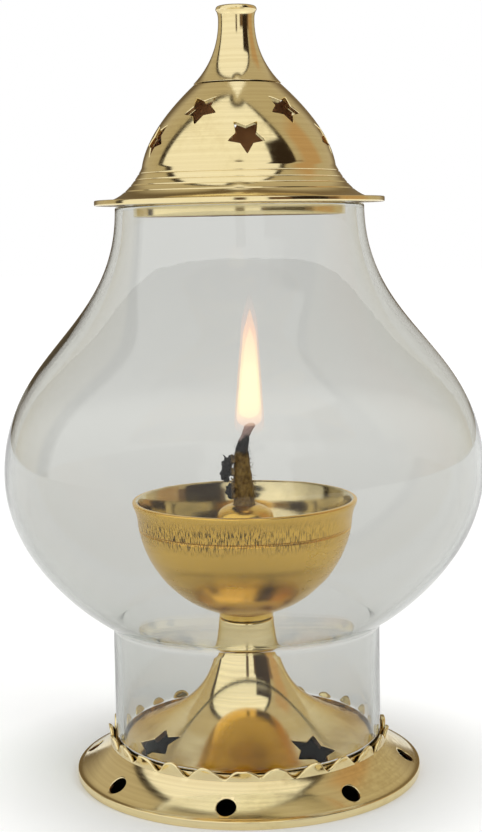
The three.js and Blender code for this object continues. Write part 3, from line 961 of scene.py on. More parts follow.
def oil_material(tint):
    """Clear golden oil."""
    _, put, shader, place = blank_material("lamp_oil")
    shader.inputs["Transmission Weight"].default_value = 1.0
    shader.inputs["IOR"].default_value = 1.47
    cloud = put.noise(place, 90.0, 3.0)[0]
    darker = tuple(c * 0.86 for c in tint)
    put.wire(put.blend(cloud, (*tint, 1), (*darker, 1)), shader.inputs["Base Color"])
    put.wire(put.ranged(cloud, 0.3, 0.9, 0.02, 0.08), shader.inputs["Roughness"])


def cotton_material(colours, char_height, tip):
    """Oiled cotton that turns to char and then to ash at its tip, with burnt curls on its left."""
    _, put, shader, place = blank_material("burnt_cotton")
    spot = put.split(place)
    grain, blot = put.noise(place, 900.0, 6.0)[0], put.noise(place, 260.0, 4.0)[0]
    ragged = put.plus(spot["Z"], put.times(put.minus(blot, 0.5), 10 * MM))
    burnt = put.ranged(ragged, char_height - 1.2 * MM, char_height + 1.2 * MM)
    ashen = put.ranged(ragged, tip - 3.6 * MM, tip - 2.4 * MM)
    burnt = put.calc("MAXIMUM", burnt, put.ranged(spot["X"], -2.6 * MM, -3.4 * MM))
    yarn = put.blend(put.ranged(grain, 0.3, 0.6), (*colours.cotton_dark, 1), (*colours.cotton, 1))
    charred = put.blend(burnt, yarn, (*colours.char, 1))
    put.wire(put.blend(ashen, charred, (*colours.ash, 1)), shader.inputs["Base Color"])
    put.wire(put.ranged(burnt, 0.0, 1.0, 0.42, 0.95), shader.inputs["Roughness"])
    shader.inputs["Specular IOR Level"].default_value = 0.3
    put.bump(shader, 0.8, 0.2 * MM, grain)


def flame_material(name, colours, foot, tip, strength, solid):
    """A glowing shell with colours for its foot, middle and tip, which fades towards both of its ends."""
    material, put, shader, place = blank_material(name)
    flicker = put.times(put.minus(put.noise(place, 160.0, 2.0)[0], 0.5), 2 * MM)
    rise = put.ranged(put.plus(put.split(place)[2], flicker), foot, tip)
    low, middle, high = ((*c, 1) for c in colours)
    lower = put.blend(put.ranged(rise, 0.02, 0.24), low, middle)
    shader.inputs["Base Color"].default_value = (0, 0, 0, 1)
    put.wire(put.blend(put.ranged(rise, 0.44, 0.72), lower, high), shader.inputs["Emission Color"])
    shader.inputs["Emission Strength"].default_value = strength
    shader.inputs["Specular IOR Level"].default_value = 0.0
    faded = put.times(put.ranged(rise, 0.0, 0.2), put.ranged(rise, 1.0, 0.55))
    put.wire(put.times(faded, solid), shader.inputs["Alpha"])
    return material


def make_finishes(colours, bowl_sizes, skirt_sizes):
    """All finishes of the lamp but the wick's and the flame's. A slope says how lathe lines run on a wall."""
    turned_lines_group()
    patina_group()
    brass, satin = tuple(colours.brass), tuple(colours.satin_brass)
    worn, soot_and_shade = tuple(colours.worn_brass), tuple(colours.soot_and_shade)
    dull = tuple(colours.dull_brass)
    # Inner faces are darkened by painted shade, and in the skirt, pedestal and lid by soot as well
    shaded_inside = (soot_and_shade, 0.5, skirt_sizes.flare_height)
    brass_material("skirt_brass", brass, worn, -1.0, 0.08, 0.5, inside=shaded_inside)
    shaded_inside = (soot_and_shade, 0.5, PEDESTAL_TOP)
    pedestal = brass_material("pedestal_brass", brass, worn, -1.0, 0.07, 0.45, inside=shaded_inside)
    add_plate_tarnish(pedestal, PEDESTAL_SEAT + 3.5 * MM, dull)
    brass_material("holder_brass", satin, worn, -0.6, 0.2, 0.6)
    brass_material("lid_brass", brass, worn, -0.8, 0.06, 0.4, inside=(soot_and_shade, 0.42, DOME_TOP))
    brass_material("finial_brass", brass, worn, -0.4, 0.08, 0.4, lines=(5200.0, 0.8))
    brass_material("dull_brass", dull, worn, 0.5, 0.34, 0.9)
    shaded_inside = (brass, 0.08, BOWL_RIM.z)
    bowl = brass_material("bowl_brass", satin, worn, 0.35, 0.2, 0.35, lines=(1900.0, 1.1), inside=shaded_inside)
    band_height = BOWL_RIM.z - bowl_sizes.rim_rise - bowl_sizes.groove_drop
    add_chatter(bowl, band_height + 1.2 * MM, 4.5 * MM)
    glass_material(tuple(colours.glass_tint), tuple(colours.glass_veil))
    oil_material(tuple(colours.oil))


# Pieces


def pierced_into(body, handles, wall, columns, rows, start, holes):
    """Adds a pierced wall along a profile curve to a bmesh."""
    values = {key: (p.x, 0.0, p.y) for key, p in zip(HANDLES, as_cubic(handles))}
    values |= {"Wall": wall, "Columns": columns, "Rows": rows, "Start Angle": start}
    values |= {"Second Count": 0, "Second Phase": 0.0, "Second Place": 0.5} | holes
    mesh = grown(bpy.data.node_groups["Pierced Wall"], values)
    body.from_mesh(mesh)
    bpy.data.meshes.remove(mesh)


def make_skirt(sizes, finish):
    """Foot band, vented flare and scalloped gallery."""
    columns, rows = sizes.scallops * 16, 14
    start = sizes.vent_phase - math.pi / sizes.vents
    outer = FOOT_RADIUS - sizes.spread
    flare = [
        (FOOT_RADIUS - sizes.band_step, sizes.band_height),
        (outer + sizes.flare_inset, sizes.flare_height - sizes.flare_sag),
        (outer, sizes.flare_height),
    ]
    foot_in, top_in = along(flare, 1, -sizes.wall)
    band = [
        foot_in,
        (FOOT_RADIUS - sizes.band_width, 0),
        (FOOT_RADIUS, 0),
        (FOOT_RADIUS, sizes.band_height),
        flare[0],
    ]
    body = bmesh.new()
    turn_into(body, softened(band, radius=0.35 * MM), columns, start)
    holes = {
        "First Count": sizes.vents,
        "Points": 8,
        "Radius": sizes.vent_radius,
        "Waist": 1.0,
        "Rounding": 0.18 * MM,
        "First Phase": sizes.vent_phase,
        "First Place": length_share(flare, lambda p: p.y > sizes.vent_height),
        "Material": finish,
    }
    pierced_into(body, flare, sizes.wall, columns, rows, start, holes)
    lip = sizes.wall / 2
    middle = (outer - lip, GALLERY_TOP - lip)
    arc = [
        (middle[0] + lip * math.cos(t), middle[1] + lip * math.sin(t))
        for t in (math.pi * i / 8 for i in range(9))
    ]
    steps = [sizes.flare_height + (middle[1] - sizes.flare_height) * i / 8 for i in range(9)]
    wall = [(outer, z) for z in steps[:-1]] + arc + [(outer - sizes.wall, z) for z in reversed(steps[:-1])]
    turn_into(body, [*wall, top_in], columns, start)
    values = {
        "Foot": sizes.flare_height,
        "Top": GALLERY_TOP,
        "Lip": lip,
        "Depth": sizes.scallop_depth,
        "Count": sizes.scallops,
        "Phase": sizes.scallop_phase,
        "Sharpness": sizes.sharpness,
        "Unevenness": sizes.unevenness,
        "Curl": sizes.curl,
        "Material": finish,
    }
    body = regrown(body, "Scallops", values)
    finished("skirt_and_gallery", body, finish, "base", "brass", ["foot_skirt"])


def make_pedestal(sizes, finish):
    """Ledge, pierced plate and trumpet in one casting."""
    columns, rows = 256, 56
    start = sizes.star_phase - math.pi / sizes.stars
    ledge = PEDESTAL_SEAT + sizes.wall
    trumpet = [
        (RIM_RADIUS - sizes.ledge_inset, ledge),
        (sizes.stem_radius + sizes.splay, ledge + sizes.lift),
        (sizes.stem_radius + sizes.stem_splay, PEDESTAL_TOP - sizes.stem_drop),
        (sizes.stem_radius, PEDESTAL_TOP),
    ]
    # The share of the trumpet that is the pierced plate
    plate_end = 0.42
    plate = lower_part(trumpet, plate_end)
    foot_in = along(plate, 1, -sizes.wall)[0]
    body = bmesh.new()
    rim = [foot_in, (RIM_RADIUS, PEDESTAL_SEAT), (RIM_RADIUS, ledge), plate[0]]
    turn_into(body, softened(rim, radius=0.3 * MM), columns, start)
    centre = RIM_RADIUS - sizes.star_reach
    holes = {
        "First Count": sizes.stars,
        "Points": 5,
        "Radius": sizes.star_radius,
        "Waist": 0.53,
        "Rounding": 0.22 * MM,
        "First Phase": sizes.star_phase,
        "First Place": length_share(plate, lambda p: p.x < centre),
        "Material": finish,
    }
    pierced_into(body, plate, sizes.wall, columns, rows, start, holes)
    web = PEDESTAL_TOP - sizes.neck_web
    bore = sizes.stud_bore
    steps = 40
    inside = [p for p in along(trumpet, steps, -sizes.wall, plate_end) if p.y < web]
    neck = [
        *along(trumpet, steps, 0, plate_end),
        (bore, PEDESTAL_TOP),
        (bore, web),
        (inside[-1].x, web),
        *reversed(inside),
    ]
    turn_into(body, softened(neck, radius=0.3 * MM), columns, start)
    finished("pierced_pedestal", body, finish, "base", "brass", ["pedestal"])


def make_bowl(sizes, finish, oil):
    """Round bowl with an engraved line, its stud, and the oil in it."""
    seat = PEDESTAL_TOP + FIT_GAP
    centre = seat + sizes.foot + sizes.radius

    def sphere(radius, first, last, steps):
        """Points of a round wall between two heights above its centre."""
        low, high = math.asin(first / radius), math.asin(last / radius)
        leans = [low + (high - low) * i / steps for i in range(steps + 1)]
        return [(radius * math.cos(t), centre + radius * math.sin(t)) for t in leans]

    foot_radius = sizes.foot_radius
    low = -math.sqrt(sizes.radius**2 - foot_radius**2)
    half_groove = sizes.groove_width / 2
    line = sphere(sizes.radius, -sizes.groove_drop - half_groove, -sizes.groove_drop + half_groove, 6)
    sunk = zip(line, (0, 0.55, 0.9, 1, 0.9, 0.55, 0))
    wall_top, rim_round = centre + sizes.rim_rise, 0.3 * MM
    band = [
        line[-1],
        (line[-1][0] + 0.1 * MM, centre - 0.5 * MM),
        (BOWL_RIM.x - 0.15 * MM, wall_top - 1.2 * MM),
    ]
    lip = [
        (BOWL_RIM.x, wall_top - rim_round),
        (BOWL_RIM.x - sizes.lip * 0.25, wall_top),
        (BOWL_RIM.x - sizes.lip * 0.75, wall_top),
        (BOWL_RIM.x - sizes.lip, wall_top - rim_round),
    ]
    outside = [
        *sphere(sizes.radius, low, -sizes.groove_drop - half_groove - 0.02 * MM, 56),
        *((r - sizes.groove_depth * depth, z) for (r, z), depth in sunk),
        *along(band, 14)[1:],
        *lip,
    ]
    inner = sizes.radius - sizes.wall
    hollow = sphere(inner, -inner, -sizes.groove_drop, 44)
    throat = [lip[-1], (inner + 0.25 * MM, centre + 0.5 * MM), hollow[-1]]
    profile = [
        (0, STUD_END),
        (sizes.stud_radius, STUD_END),
        (sizes.stud_radius, seat),
        (foot_radius, seat),
        *outside,
        *along(throat, 12)[1:-1],
        *reversed(hollow),
    ]
    rounded = softened(profile, radius=0.4 * MM)
    turned("round_oil_bowl", rounded, 192, finish, "base", "brass", ["oil_bowl"])
    # The oil creeps up the wall at its edge
    gap, creep = 0.05 * MM, 0.5 * MM
    level = wall_top - sizes.oil_depth - centre
    pool = sphere(inner - gap, -(inner - gap), level + creep, 30)
    edge = pool[-1][0]
    surface = centre + level
    pool += [(edge - 0.8 * MM, surface + 0.1 * MM), (edge - 2 * MM, surface), (0, surface)]
    turned("lamp_oil", pool, 128, oil, "base", None)


def make_holder(sizes, wick, finish):
    """Bell-shaped holder with a domed cap."""
    bore = wick.radius + FIT_GAP
    foot_top = HOLDER_SEAT + sizes.foot_thickness
    bell = [
        (HOLDER_RADIUS, foot_top),
        (sizes.stem_radius, foot_top),
        (sizes.stem_radius, HOLDER_SEAT + sizes.bell_height),
    ]
    cap_foot = HOLDER_TOP - sizes.cap_height
    cap = [
        (sizes.cap_radius, cap_foot),
        (sizes.cap_radius, HOLDER_TOP - sizes.cap_crown),
        (bore + sizes.lip, HOLDER_TOP),
    ]
    profile = [
        (HOLDER_RADIUS, HOLDER_SEAT),
        *along(bell, 16),
        (sizes.stem_radius, cap_foot),
        *along(cap, 18),
        (bore, HOLDER_TOP),
        (bore, HOLDER_SEAT),
    ]
    rounded = softened(profile, radius=0.25 * MM, closed=True)
    turned("bell_wick_holder", rounded, 96, finish, "holder", "brass", ["wick_holder"], looped=True)


def wick_path(height):
    """Where the wick's middle is at a height, and its share of the full thickness."""
    # Height, millimetres to the right of the axis, and share of the thickness
    stations = [
        (WICK_END, 0, 1),
        (HOLDER_TOP + 1 * MM, 0, 1),
        (HOLDER_TOP + 5 * MM, -0.2, 0.95),
        (HOLDER_TOP + 9 * MM, -0.45, 0.82),
        (HOLDER_TOP + 12 * MM, -0.55, 0.73),
        (HOLDER_TOP + 14 * MM, -0.4, 0.6),
        (HOLDER_TOP + 16 * MM, 0, 0.5),
        (HOLDER_TOP + 17.2 * MM, 0.45, 0.4),
        (HOLDER_TOP + 18.4 * MM, 0.95, 0.44),
        (HOLDER_TOP + 19.8 * MM, 1.6, 0.5),
        (WICK_TIP - 0.25 * MM, 1.95, 0.36),
        (WICK_TIP, 2.05, 0.16),
    ]
    for low, high in zip(stations, stations[1:]):
        if height <= high[0]:
            part = (height - low[0]) / (high[0] - low[0])
            part = max(0.0, min(1.0, part))
            return (low[1] + (high[1] - low[1]) * part) * MM, low[2] + (high[2] - low[2]) * part
    return stations[-1][1] * MM, stations[-1][2]


def make_wick(sizes, finish):
    """Twisted cotton, ragged where it is charred, with loose fibres and burnt curls."""
    sides, steps = 84, 190
    rings = []
    for i in range(steps + 1):
        height = WICK_END + (WICK_TIP - WICK_END) * i / steps
        lean, size = wick_path(height)
        char = max(0.0, min(1.0, (height - sizes.char_height) / (4 * MM)))
        ring = []
        for k in range(sides):
            turn = FULL_TURN * k / sides
            strand = math.cos(sizes.strands * (turn - FULL_TURN * sizes.twist * height))
            lumps = noise.noise(Vector((math.sin(turn), math.cos(turn), height * 380)) * 1.7)
            crags = noise.noise(Vector((math.sin(turn) * 4, math.cos(turn) * 4, height * 1500)))
            depth = sizes.strand_depth * (abs(strand) ** 0.7 - 0.6)
            swell = 1 + depth * (1 - 0.5 * char) + 0.08 * lumps + 0.2 * char * crags
            # Inside the holder the wick keeps to the bore
            radius = sizes.radius * size * min(swell, 1.12 if height > HOLDER_TOP else 1.0)
            ring.append(round_point(radius, turn, height) + Vector((lean, 0, 0)))
        rings.append(ring)
    foot, tip = ([sum(ring, Vector()) / sides] * sides for ring in (rings[0], rings[-1]))
    body = bmesh.new()
    skin(body, [foot, *rings, tip])
    values = {
        "Length": sizes.fibre_length,
        "Thickness": sizes.fibre_radius,
        "Density": 1.1e6,
        "Top": sizes.char_height + 3 * MM,
        "Material": finish,
    }
    body = regrown(body, "Loose Fibres", values)
    # Handle points in millimetres, thickness and seed of each curl
    curls = [
        ([(-1.6, -0.7, 79.2), (-3.9, -1.2, 80.4), (-4.9, -1.4, 77.4), (-3.9, -1.3, 75.2)], 1.3, 3),
        ([(-4.6, -1.4, 77.2), (-5.1, -1.5, 75.6), (-4.6, -1.4, 74.6), (-3.7, -1.3, 74.9)], 1.15, 4),
        ([(-2.9, -1.2, 77.4), (-3.3, -1.5, 76.6), (-3, -1.5, 75.8), (-2.5, -1.2, 75.6)], 0.75, 5),
        ([(-1.6, -0.8, 73), (-2.8, -1.1, 73.2), (-3.8, -1.4, 71.6), (-4.3, -1.5, 70.6)], 1.1, 7),
        ([(-1.5, -0.8, 70.4), (-2.6, -1.1, 70.2), (-3.4, -1.4, 70.2), (-4.1, -1.5, 70.5)], 0.9, 9),
        ([(-3.9, -1.2, 78.6), (-4.3, -1.3, 79.6), (-4.6, -1.3, 80.4), (-5.2, -1.3, 80.8)], 0.16, 11),
        ([(-4.4, -1.4, 76.6), (-5, -1.5, 77.2), (-5.5, -1.5, 78), (-5.6, -1.4, 78.8)], 0.13, 13),
        ([(-3.2, -1.4, 75), (-3, -1.8, 74.4), (-2.4, -1.9, 74.2), (-2.2, -1.7, 74.8)], 0.2, 15),
    ]
    for curl, thick, seed in curls:
        path = [Vector(p) * MM for p in curl]
        steps = 36
        smooth = [on_curve(path, i / steps) for i in range(steps + 1)]
        radii = []
        for i in range(steps + 1):
            swell = math.sin(math.pi * (0.12 + 0.83 * i / steps)) ** 0.6
            radii.append(thick * swell * (1 + 0.3 * noise.noise(Vector((seed, i * 0.4, 0)))) * MM)
        tube_into(body, smooth, radii, sides=24, crags=0.45)
    finished("cotton_wick_burnt", body, finish, "wick", "oiled_cotton", ["cotton_wick"], crease=80)


def make_flame(sizes, finishes):
    """Three nested shells, from the pink outer flame to its bright core, each shorter and set higher."""
    for number, (scale, finish) in enumerate(finishes):
        foot = sizes.flame_foot + sizes.flame_height * 0.06 * number
        tall = sizes.flame_height * (1 - 0.19 * number)
        steps = 48
        profile = []
        # Round at its foot, widest low down and thin at its tip
        for i in range(steps + 1):
            part = i / steps
            wide = (1 - math.exp(-part * 45)) * (1 - 0.66 * part) * min(1.0, (1 - part) * 5) ** 0.7
            profile.append((max(wide, 0) * sizes.flame_radius * scale, foot + tall * part))
        profile[0], profile[-1] = (0, foot), (0, foot + tall)
        body = bmesh.new()
        turn_into(body, profile, columns=64)
        # It stands on the bent tip of the wick and leans to the right
        shift, lean = 1.5 * MM, 0.6 * MM
        for vert in body.verts:
            rise = (vert.co.z - foot) / tall
            vert.co.x += shift + lean * rise
        finished(f"flame_shell_{number + 1}", body, finish, "wick", None)


def make_glass(sizes, finish):
    """Blown chimney: straight foot, fold, bulb and neck."""
    foot = GLASS_SEAT
    fold_end = (sizes.foot_radius + sizes.fold_reach, foot + sizes.foot_height + sizes.fold_rise)
    rise = math.tan(sizes.fold_slope)
    fold = [
        (sizes.foot_radius, foot + sizes.foot_height),
        (sizes.foot_radius, fold_end[1] - sizes.fold_reach * rise),
        fold_end,
    ]
    wide = foot + sizes.bulb_height
    belly = [
        fold_end,
        (
            fold_end[0] + sizes.underside * math.cos(sizes.fold_slope),
            fold_end[1] + sizes.underside * math.sin(sizes.fold_slope),
        ),
        (BULB_RADIUS, wide - sizes.belly),
        (BULB_RADIUS, wide),
    ]
    shoulder = [
        (BULB_RADIUS, wide),
        (BULB_RADIUS, wide + sizes.shoulder),
        (sizes.neck_radius, GLASS_TOP - sizes.neck_run),
        (sizes.neck_radius, GLASS_TOP),
    ]

    def wall(offset):
        """One face of the wall, up to the mouth."""
        steps = 14
        rises = [foot + sizes.foot_height * i / steps for i in range(1, steps)]
        straight = [(sizes.foot_radius + offset, z) for z in rises]
        curved = along(fold, 12, offset) + along(belly, 44, offset)[1:] + along(shoulder, 64, offset)[1:]
        return straight + curved

    profile = [
        (sizes.foot_radius - sizes.wall, foot),
        (sizes.foot_radius, foot),
        *wall(0),
        *reversed(wall(-sizes.wall)),
    ]
    body = bmesh.new()
    turn_into(body, softened(profile, sizes.edge, steps=6, closed=True), columns=224, looped=True)
    # The unevenness fades out towards the straight foot and the mouth, and where the bulb is widest
    fade = 20 * MM
    for vert in body.verts:
        high = min(max((vert.co.z - foot - sizes.foot_height) / fade, 0), 1)
        low = min(max((GLASS_TOP - vert.co.z) / fade, 0), 1)
        swell = noise.noise(vert.co * 22) * sizes.wobble * high * low
        flat = Vector((vert.co.x, vert.co.y, 0))
        limit = BULB_RADIUS / flat.length
        vert.co += flat.normalized() * swell * min(1, max(0, limit - 1) * 8)
    finished("blown_glass_chimney", body, finish, "chimney", "chimney_glass", ["glass_chimney"])


def make_lid(sizes, finish, finial_finish):
    """Dome with its flange, the locating collar and the hollow finial."""
    columns, rows = 280, 64
    # The wrapped wall's seam lies between a low star and a high one
    start = sizes.star_phase - math.radians(16.5)
    collar = COLLAR_HIGH.x
    waist = (collar - sizes.waist_inset, LID_SEAT + sizes.waist_height)
    sweep = [
        (collar + sizes.sweep_reach, LID_SEAT + sizes.flange),
        (collar + sizes.sweep_corner, LID_SEAT + sizes.sweep_lift),
        waist,
    ]
    top_radius = FINIAL_HIGH.x
    dome = [waist, (waist[0] - sizes.bulge, DOME_TOP - sizes.crown), (top_radius, DOME_TOP)]
    # The share of the dome that is pierced
    belt_end = 0.93
    belt = lower_part(dome, belt_end)
    hole = sizes.spigot_radius + FIT_GAP
    seat = collar + FIT_GAP
    foot_in, top_in = along(belt, 1, -sizes.wall)
    swept, reached = [], 0.0
    line_width, line_depth, clearing = 0.45 * MM, 0.16 * MM, 0.025
    for line in (0.42, 0.6, 0.74, 0.88):
        swept += along(sweep, 10, 0, reached, line - clearing)
        swept += groove(sweep, line, line_width, line_depth)
        reached = line + clearing
    swept += along(sweep, 4, 0, reached, 1)
    skirt = [
        foot_in,
        (collar - sizes.collar_wall, LID_SEAT + sizes.collar_seat),
        (seat, LID_SEAT + sizes.collar_seat),
        (seat, LID_SEAT),
        (FLANGE_RADIUS, LID_SEAT),
        (FLANGE_RADIUS, LID_SEAT + sizes.flange),
        *swept,
    ]
    body = bmesh.new()
    turn_into(body, softened(skirt, radius=0.35 * MM), columns, start)
    holes = {
        "First Count": sizes.stars,
        "Points": 5,
        "Radius": sizes.star_radius,
        "Waist": 0.53,
        "Rounding": 0.2 * MM,
        "First Phase": sizes.star_phase,
        "First Place": length_share(belt, lambda p: p.y > LID_SEAT + sizes.low_stars),
        "Second Count": sizes.stars,
        "Second Phase": sizes.star_phase + math.pi / sizes.stars,
        "Second Place": length_share(belt, lambda p: p.y > LID_SEAT + sizes.high_stars),
        "Material": finish,
    }
    pierced_into(body, belt, sizes.wall, columns, rows, start, holes)
    crown = [
        *along(dome, 4, 0, belt_end, 1),
        (hole, DOME_TOP),
        (hole, DOME_TOP - sizes.wall),
        top_in,
    ]
    turn_into(body, softened(crown, radius=0.2 * MM), columns, start)
    finished("pierced_lid", body, finish, "lid", "brass", ["lid_dome"])

    ring = [
        (collar, COLLAR_LOW.z),
        (collar, COLLAR_HIGH.z),
        (collar - sizes.collar_wall, COLLAR_HIGH.z),
        (collar - sizes.collar_wall, COLLAR_LOW.z),
    ]
    rounded = softened(ring, radius=0.3 * MM, closed=True)
    turned("locating_collar", rounded, 128, finish, "lid", "brass", ["lid_collar"], looped=True)

    foot, top = DOME_TOP + FIT_GAP, FINIAL_HIGH.z
    side = [
        (top_radius, foot),
        (top_radius - sizes.shoulder, foot + sizes.shoulder),
        (sizes.finial_neck, top - sizes.lip_height - sizes.reach),
        (sizes.finial_neck, top - sizes.lip_height),
    ]
    flared = [
        (sizes.finial_neck, top - sizes.lip_height),
        (sizes.finial_neck, top - sizes.lip_edge * 1.6),
        (sizes.finial_lip, top - sizes.lip_edge),
    ]
    lip = [
        (sizes.finial_lip, top - sizes.lip_edge),
        (sizes.finial_lip, top),
        ((sizes.finial_lip + sizes.bore) / 2, top),
    ]
    profile = [
        (sizes.bore, FINIAL_LOW.z),
        (sizes.spigot_radius, FINIAL_LOW.z),
        (sizes.spigot_radius, foot),
        *along(side, 40),
        *along(flared, 10)[1:],
        *along(lip, 8)[1:],
        (sizes.bore, top - 0.5 * MM),
    ]
    rounded = softened(profile, radius=0.3 * MM, closed=True)
    turned("turned_finial", rounded, 128, finial_finish, "lid", "brass", ["lid_finial"], looped=True)


# Stage


def stage_sheet(name, corners, material):
    """A flat sheet of the stage."""
    mesh = bpy.data.meshes.new(name)
    mesh.from_pydata([Vector(c) for c in corners], [], [range(len(corners))])
    mesh.materials.append(material)
    sheet = placed(name, mesh)


def softbox(name, place, aim, width, height, power):
    """A large soft lamp."""
    lamp = bpy.data.lights.new(name, "AREA")
    lamp.shape = "RECTANGLE"
    lamp.size, lamp.size_y, lamp.energy = width, height, power
    holder = placed(name, lamp)
    holder.location = place
    way = Vector(aim) - Vector(place)
    holder.rotation_euler = way.to_track_quat("-Z", "Y").to_euler()
    holder.visible_glossy = False
    holder.visible_transmission = False


def seen_directly(put):
    """1 for rays that show a surface to the camera, to metal or through glass."""
    rays = put.add("ShaderNodeLightPath").outputs
    looked = put.calc("MAXIMUM", rays["Is Camera Ray"], rays["Is Glossy Ray"])
    return put.calc("MAXIMUM", looked, rays["Is Transmission Ray"])


def studio_paint(name, window_top, stand_left, strength):
    """Warm grey studio wall with a bright window, its dark frame and a dark stand, by angle from the lamp."""
    paint = bpy.data.materials.new(name)
    paint.use_nodes = True
    put = Board(paint.node_tree)
    paint.node_tree.nodes.remove(paint.node_tree.nodes["Principled BSDF"])
    x, y, z = put.split(put.add("ShaderNodeTexCoord").outputs["Object"])
    turn = put.swing(x, y)
    rise = put.calc("ARCTAN2", put.minus(z, STUDIO_HEIGHT), put.from_axis(x, y))

    def block(left, right, low, high, soft=0.6):
        """1 inside a window of angles in degrees."""
        ranges = ((turn, left, soft), (turn, right, -soft), (rise, low, soft), (rise, high, -soft))
        parts = [
            put.ranged(axis, math.radians(edge - feather), math.radians(edge + feather))
            for axis, edge, feather in ranges
        ]
        return put.times(put.times(parts[0], parts[1]), put.times(parts[2], parts[3]))

    tone = (0.5, 0.44, 0.32, 1)
    brown, near_black, white = (0.16, 0.1, 0.06, 1), (0.03, 0.02, 0.014, 1), (0.98, 0.98, 0.97, 1)
    # The window's frame and panes, then what stands before them and at the sides
    for area, shade in (
        (block(-111, 30, -10, window_top + 3, 1), near_black),
        (block(28, 73, 14, window_top + 3, 1), near_black),
        (block(-102, 22, -10, window_top, 0.8), white),
        (block(20, 65, 20, window_top, 0.8), white),
        (block(24, 84, -10, 20, 2), brown),
        (block(stand_left, 72, -10, 48, 1), near_black),
        (block(-4, 5, -10, 26, 0.5), (0.1, 0.07, 0.05, 1)),
        (block(84, 116, -10, 50, 5), (0.5, 0.34, 0.19, 1)),
        (block(150, 181, -10, 89, 8), (0.2, 0.15, 0.09, 1)),
        (block(-181, -150, -10, 89, 8), (0.16, 0.12, 0.07, 1)),
    ):
        tone = put.blend(area, tone, shade)
    glow = put.add("ShaderNodeEmission", {"Color": tone, "Strength": strength})
    put.wire(glow.outputs[0], paint.node_tree.nodes["Material Output"].inputs["Surface"])
    return paint


def studio_wall(name, paint, first, last, high):
    """A part of the round studio wall between two angles from the front, for metal and glass to mirror."""
    distance, low = 1.7, -3
    storeys, columns = 24, 56
    body = bmesh.new()
    rows = []
    for i in range(storeys + 1):
        lift = math.radians(low + (high - low) * i / storeys)
        ring = []
        for k in range(columns + 1):
            turn = math.radians(first + (last - first) * k / columns)
            point = round_point(distance * math.cos(lift), turn, distance * math.sin(lift) + STUDIO_HEIGHT)
            ring.append(body.verts.new(point))
        rows.append(ring)
    for below, above in zip(rows, rows[1:]):
        for k in range(columns):
            body.faces.new((below[k + 1], below[k], above[k], above[k + 1]))
    mesh = bpy.data.meshes.new(name)
    body.to_mesh(mesh)
    body.free()
    mesh.materials.append(paint)
    wall = placed(name, mesh)
    wall.visible_camera = False
    wall.visible_diffuse = False
    wall.visible_shadow = False
    return wall


def studio_world():
    """White surroundings, dimmer for the light they give than where they are seen."""
    given_light, behind_glass = 0.55, 0.8
    world = bpy.data.worlds.new("studio")
    world.use_nodes = True
    put = Board(world.node_tree)
    lit = world.node_tree.nodes["Background"]
    lit.inputs["Color"].default_value = (1, 1, 1, 1)
    lit.inputs["Strength"].default_value = given_light
    through = put.add("ShaderNodeLightPath").outputs["Is Transmission Ray"]
    # Glass shows the backdrop a little darker, as it stands further off than what metal mirrors
    white = put.ranged(through, 0.0, 1.0, 1.0, behind_glass)
    seen = put.add("ShaderNodeBackground", {"Color": (1, 1, 1, 1), "Strength": white})
    mixed = put.add("ShaderNodeMixShader", {0: seen_directly(put), 1: lit.outputs[0], 2: seen.outputs[0]})
    put.wire(mixed.outputs[0], world.node_tree.nodes["World Output"].inputs["Surface"])
    bpy.context.scene.world = world


def make_floor(tint):
    """A pale floor that runs into the white backdrop, with a painted shadow: a near-black patch on the floor
    under the open foot.
    """
    near_black, behind_glass, reach = (0.03, 0.03, 0.03, 1), 0.74, 4.0
    floor_paint, put, shader, place = blank_material("floor_paint")
    grain = put.noise(place, 6.0, 2.0)[0]
    plain = put.blend(grain, (*tint, 1), (*(c * 0.99 for c in tint), 1))
    level = put.from_axis(*put.split(place)[:2])
    # The painted shadow under the foot only shows through the vents
    under = put.ranged(level, FOOT_RADIUS - 3 * MM, FOOT_RADIUS - 1 * MM)
    rays = put.add("ShaderNodeLightPath").outputs
    # As the world, the floor is darker behind the glass
    shaded = put.ranged(rays["Is Transmission Ray"], 0.0, 1.0, 1.0, behind_glass)
    darker = put.vector("MULTIPLY", put.blend(under, near_black, plain), put.joined(shaded, shaded, shaded))
    put.wire(darker, shader.inputs["Base Color"])
    shader.inputs["Roughness"].default_value = 1.0
    shader.inputs["Specular IOR Level"].default_value = 0.0
    near = put.ranged(level, FOOT_RADIUS, FOOT_RADIUS + 30 * MM, 0.0, 0.22)
    far = put.ranged(level, 0.25, 1.3, 0.0, 0.3)
    # It glows a little towards the camera, and less towards metal and glass
    close_by, far_off = (
        put.times(amount, put.calc("MAXIMUM", rays["Is Camera Ray"], least))
        for amount, least in ((near, 0.15), (far, 0.9))
    )
    shown = put.times(seen_directly(put), put.plus(close_by, far_off))
    lift = put.add("ShaderNodeEmission", {"Color": (1, 1, 1, 1), "Strength": shown})
    both = put.add("ShaderNodeAddShader", {0: shader.outputs[0], 1: lift.outputs[0]})
    put.wire(both.outputs[0], floor_paint.node_tree.nodes["Material Output"].inputs["Surface"])
    ground = [(-reach, -reach, 0), (reach, -reach, 0), (reach, reach, 0), (-reach, reach, 0)]
    stage_sheet("floor", ground, floor_paint)


